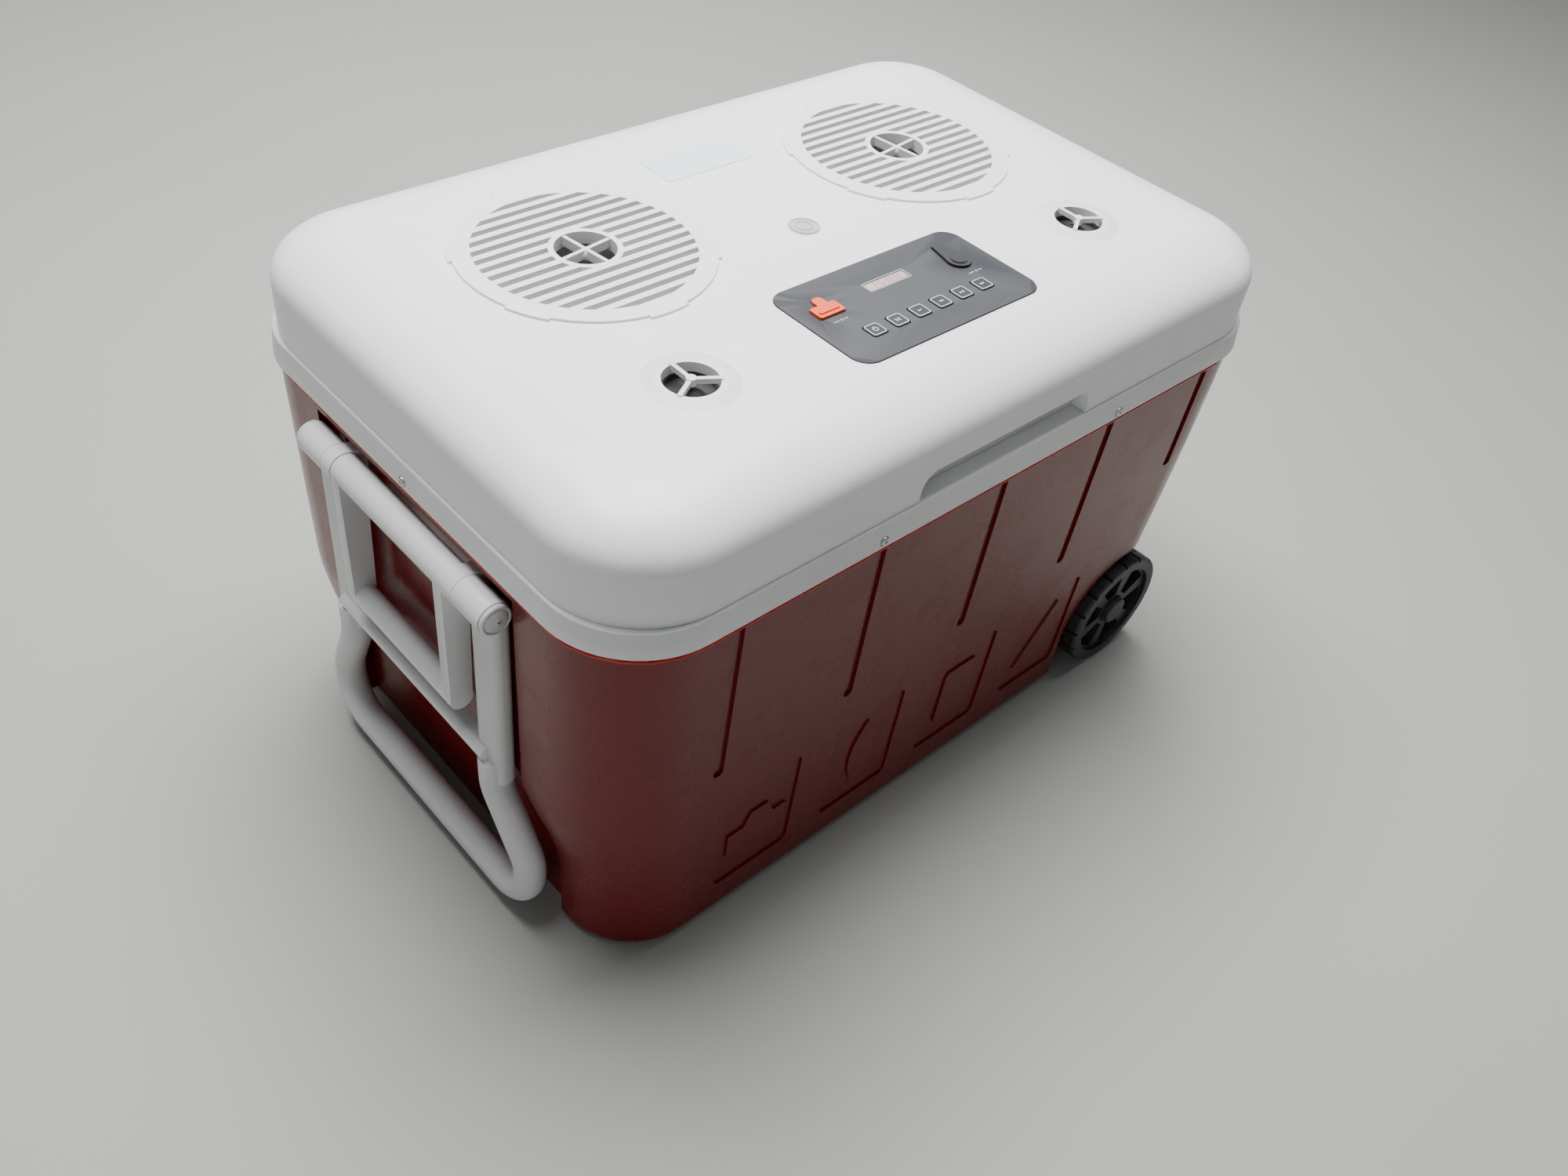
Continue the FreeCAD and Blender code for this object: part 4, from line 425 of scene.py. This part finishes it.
def display_digits():
    """Plain clock digits in the display window."""
    verts, faces = [], []
    for i, lit in enumerate(DIGIT_BARS):
        x = DIGIT_FIRST_X + i * DIGIT_PITCH + (COLON_ROOM if i > 1 else 0)
        for outline in seven_segments(x, DISPLAY_Y, *DIGIT_SIZE, lit):
            add_prism(verts, faces, outline, *DIGIT_Z)
    for dy in (-COLON_RISE, COLON_RISE):
        add_prism(verts, faces, circle(COLON_X, DISPLAY_Y + dy, COLON_R, 10), *DIGIT_Z)
    mesh_of("display_digits", verts, faces, DIGITS, "lid")


def panel_marks():
    """Plain printed line work on the control panel."""
    verts, faces = [], []
    z0, z1 = PANEL_TOP - PRINT_SINK, PANEL_TOP + PANEL_PRINT_H
    add_ring(verts, faces, rounded(DISPLAY_FRAME_X, DISPLAY_Y, *DISPLAY_FRAME),
             rounded(DISPLAY_FRAME_X, DISPLAY_Y, *DISPLAY_FRAME_INNER), z0, z1)
    for cx, cy in SOCKET_MARKS:
        outer, inner = [circle(cx + SOCKET_RING_X, cy, r, 16) for r in SOCKET_RING]
        add_ring(verts, faces, outer, inner, z0, z1)
        for dx, long in SOCKET_DASHES:
            add_prism(verts, faces, bar(cx + dx, cy, long, SOCKET_DASH_W), z0, z1)
    mesh_of("panel_marks", verts, faces, PRINT, "lid")


# ---------------------------------------------------------------- small trim
def rod_cap(word, side):
    """White cap on an end of the handle rod, turned about the rod and open at its back."""
    cx, cy, cz = CAP_AT
    n = CAP_SIDES
    rows = len(CAP_PROFILE)
    verts, faces = [], []
    for radius, out in CAP_PROFILE:
        for i in range(n):
            a = 2 * math.pi * i / n
            verts.append((cx + radius * math.cos(a), side * (cy + out), cz + radius * math.sin(a)))
    for row in range(rows - 1):
        for i in range(n):
            j = (i + 1) % n
            quad = [row * n + i, row * n + j, (row + 1) * n + j, (row + 1) * n + i]
            faces.append(quad if side < 0 else quad[::-1])
    faces.append(list(range((rows - 1) * n, rows * n))[::side])
    mesh_of("rod_cap_" + word, verts, faces, MATS["handle_white"], "box", True)


def lip_highlight_line():
    """Thin bead on the shell, just under the white rim, in a red brighter than the shell's: a painted
    highlight along the lip.
    """
    path = rounded(LIP_MID_X, 0.0, *LIP_OUTLINE)
    verts, faces = [], []
    n, m = len(path), LIP_SIDES
    for i, (x, y) in enumerate(path):
        ahead = Vector(path[(i + 1) % n]) - Vector(path[i - 1])
        out = Vector((ahead.y, -ahead.x)).normalized()
        for j in range(m):
            a = 2 * math.pi * j / m
            verts.append((x + out.x * LIP_R * math.cos(a), y + out.y * LIP_R * math.cos(a),
                          LIP_Z + LIP_R * math.sin(a)))
    for i in range(n):
        k = (i + 1) % n
        for j in range(m):
            h = (j + 1) % m
            faces.append([i * m + j, k * m + j, k * m + h, i * m + h])
    mesh_of("lip_highlight_line", verts, faces, LIP_HIGHLIGHT, "box", True)


lip_highlight_line()
for side, word in ((-1, "front"), (1, "back")):
    rod_cap(word, side)
for index, word in enumerate(KEYS):
    key_print(index, word)
display_digits()
panel_marks()


# ---------------------------------------------------------------- stage, light, camera
def stage_floor():
    s = FLOOR_HALF
    mesh = bpy.data.meshes.new("floor")
    mesh.from_pydata([(-s, -s, 0), (s, -s, 0), (s, s, 0), (-s, s, 0)], [], [(0, 1, 2, 3)])
    mat, tree, bsdf = shader("floor", FLOOR_COLOR, FLOOR_ROUGHNESS)
    tree.links.new(mix(tree, noise(tree, 1.5), FLOOR_COLOR, FLOOR_OTHER), bsdf.inputs["Base Color"])
    mesh.materials.append(mat)
    floor = bpy.data.objects.new("floor", mesh)
    bpy.context.scene.collection.objects.link(floor)
    floor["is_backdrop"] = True


def area_light(name, place, target, size, power):
    data = bpy.data.lights.new(name, "AREA")
    data.shape = "RECTANGLE"
    data.size, data.size_y = size
    data.energy = power
    lamp = bpy.data.objects.new(name, data)
    lamp.location = place
    aim = Vector(target) - Vector(place)
    lamp.rotation_euler = aim.to_track_quat("-Z", "Y").to_euler()
    bpy.context.scene.collection.objects.link(lamp)


def studio_world():
    world = bpy.data.worlds.new("studio")
    world.use_nodes = True
    background = world.node_tree.nodes["Background"]
    background.inputs["Color"].default_value = WORLD_COLOR
    background.inputs["Strength"].default_value = WORLD_STRENGTH
    bpy.context.scene.world = world


def camera():
    data = bpy.data.cameras.new("camera")
    data.lens = CAMERA_LENS
    data.sensor_width = CAMERA_SENSOR
    data.clip_start = CAMERA_NEAR
    cam = bpy.data.objects.new("camera", data)
    right = Vector(CAMERA_RIGHT)
    up = Vector(CAMERA_UP)
    turn = Matrix((right, up, right.cross(up))).transposed().to_4x4()
    cam.matrix_world = Matrix.Translation(CAMERA_AT) @ turn
    bpy.context.scene.collection.objects.link(cam)
    bpy.context.scene.camera = cam


stage_floor()
for light in LIGHTS:
    area_light(*light)
studio_world()
camera()


def plain(value):
    """Bounds as plain nested lists."""
    if isinstance(value, dict):
        return {key: plain(item) for key, item in value.items()}
    if isinstance(value, (int, float, str)) or value is None:
        return value
    return [plain(item) for item in value]


{"before": plain(BEFORE), "after": plain(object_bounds())}
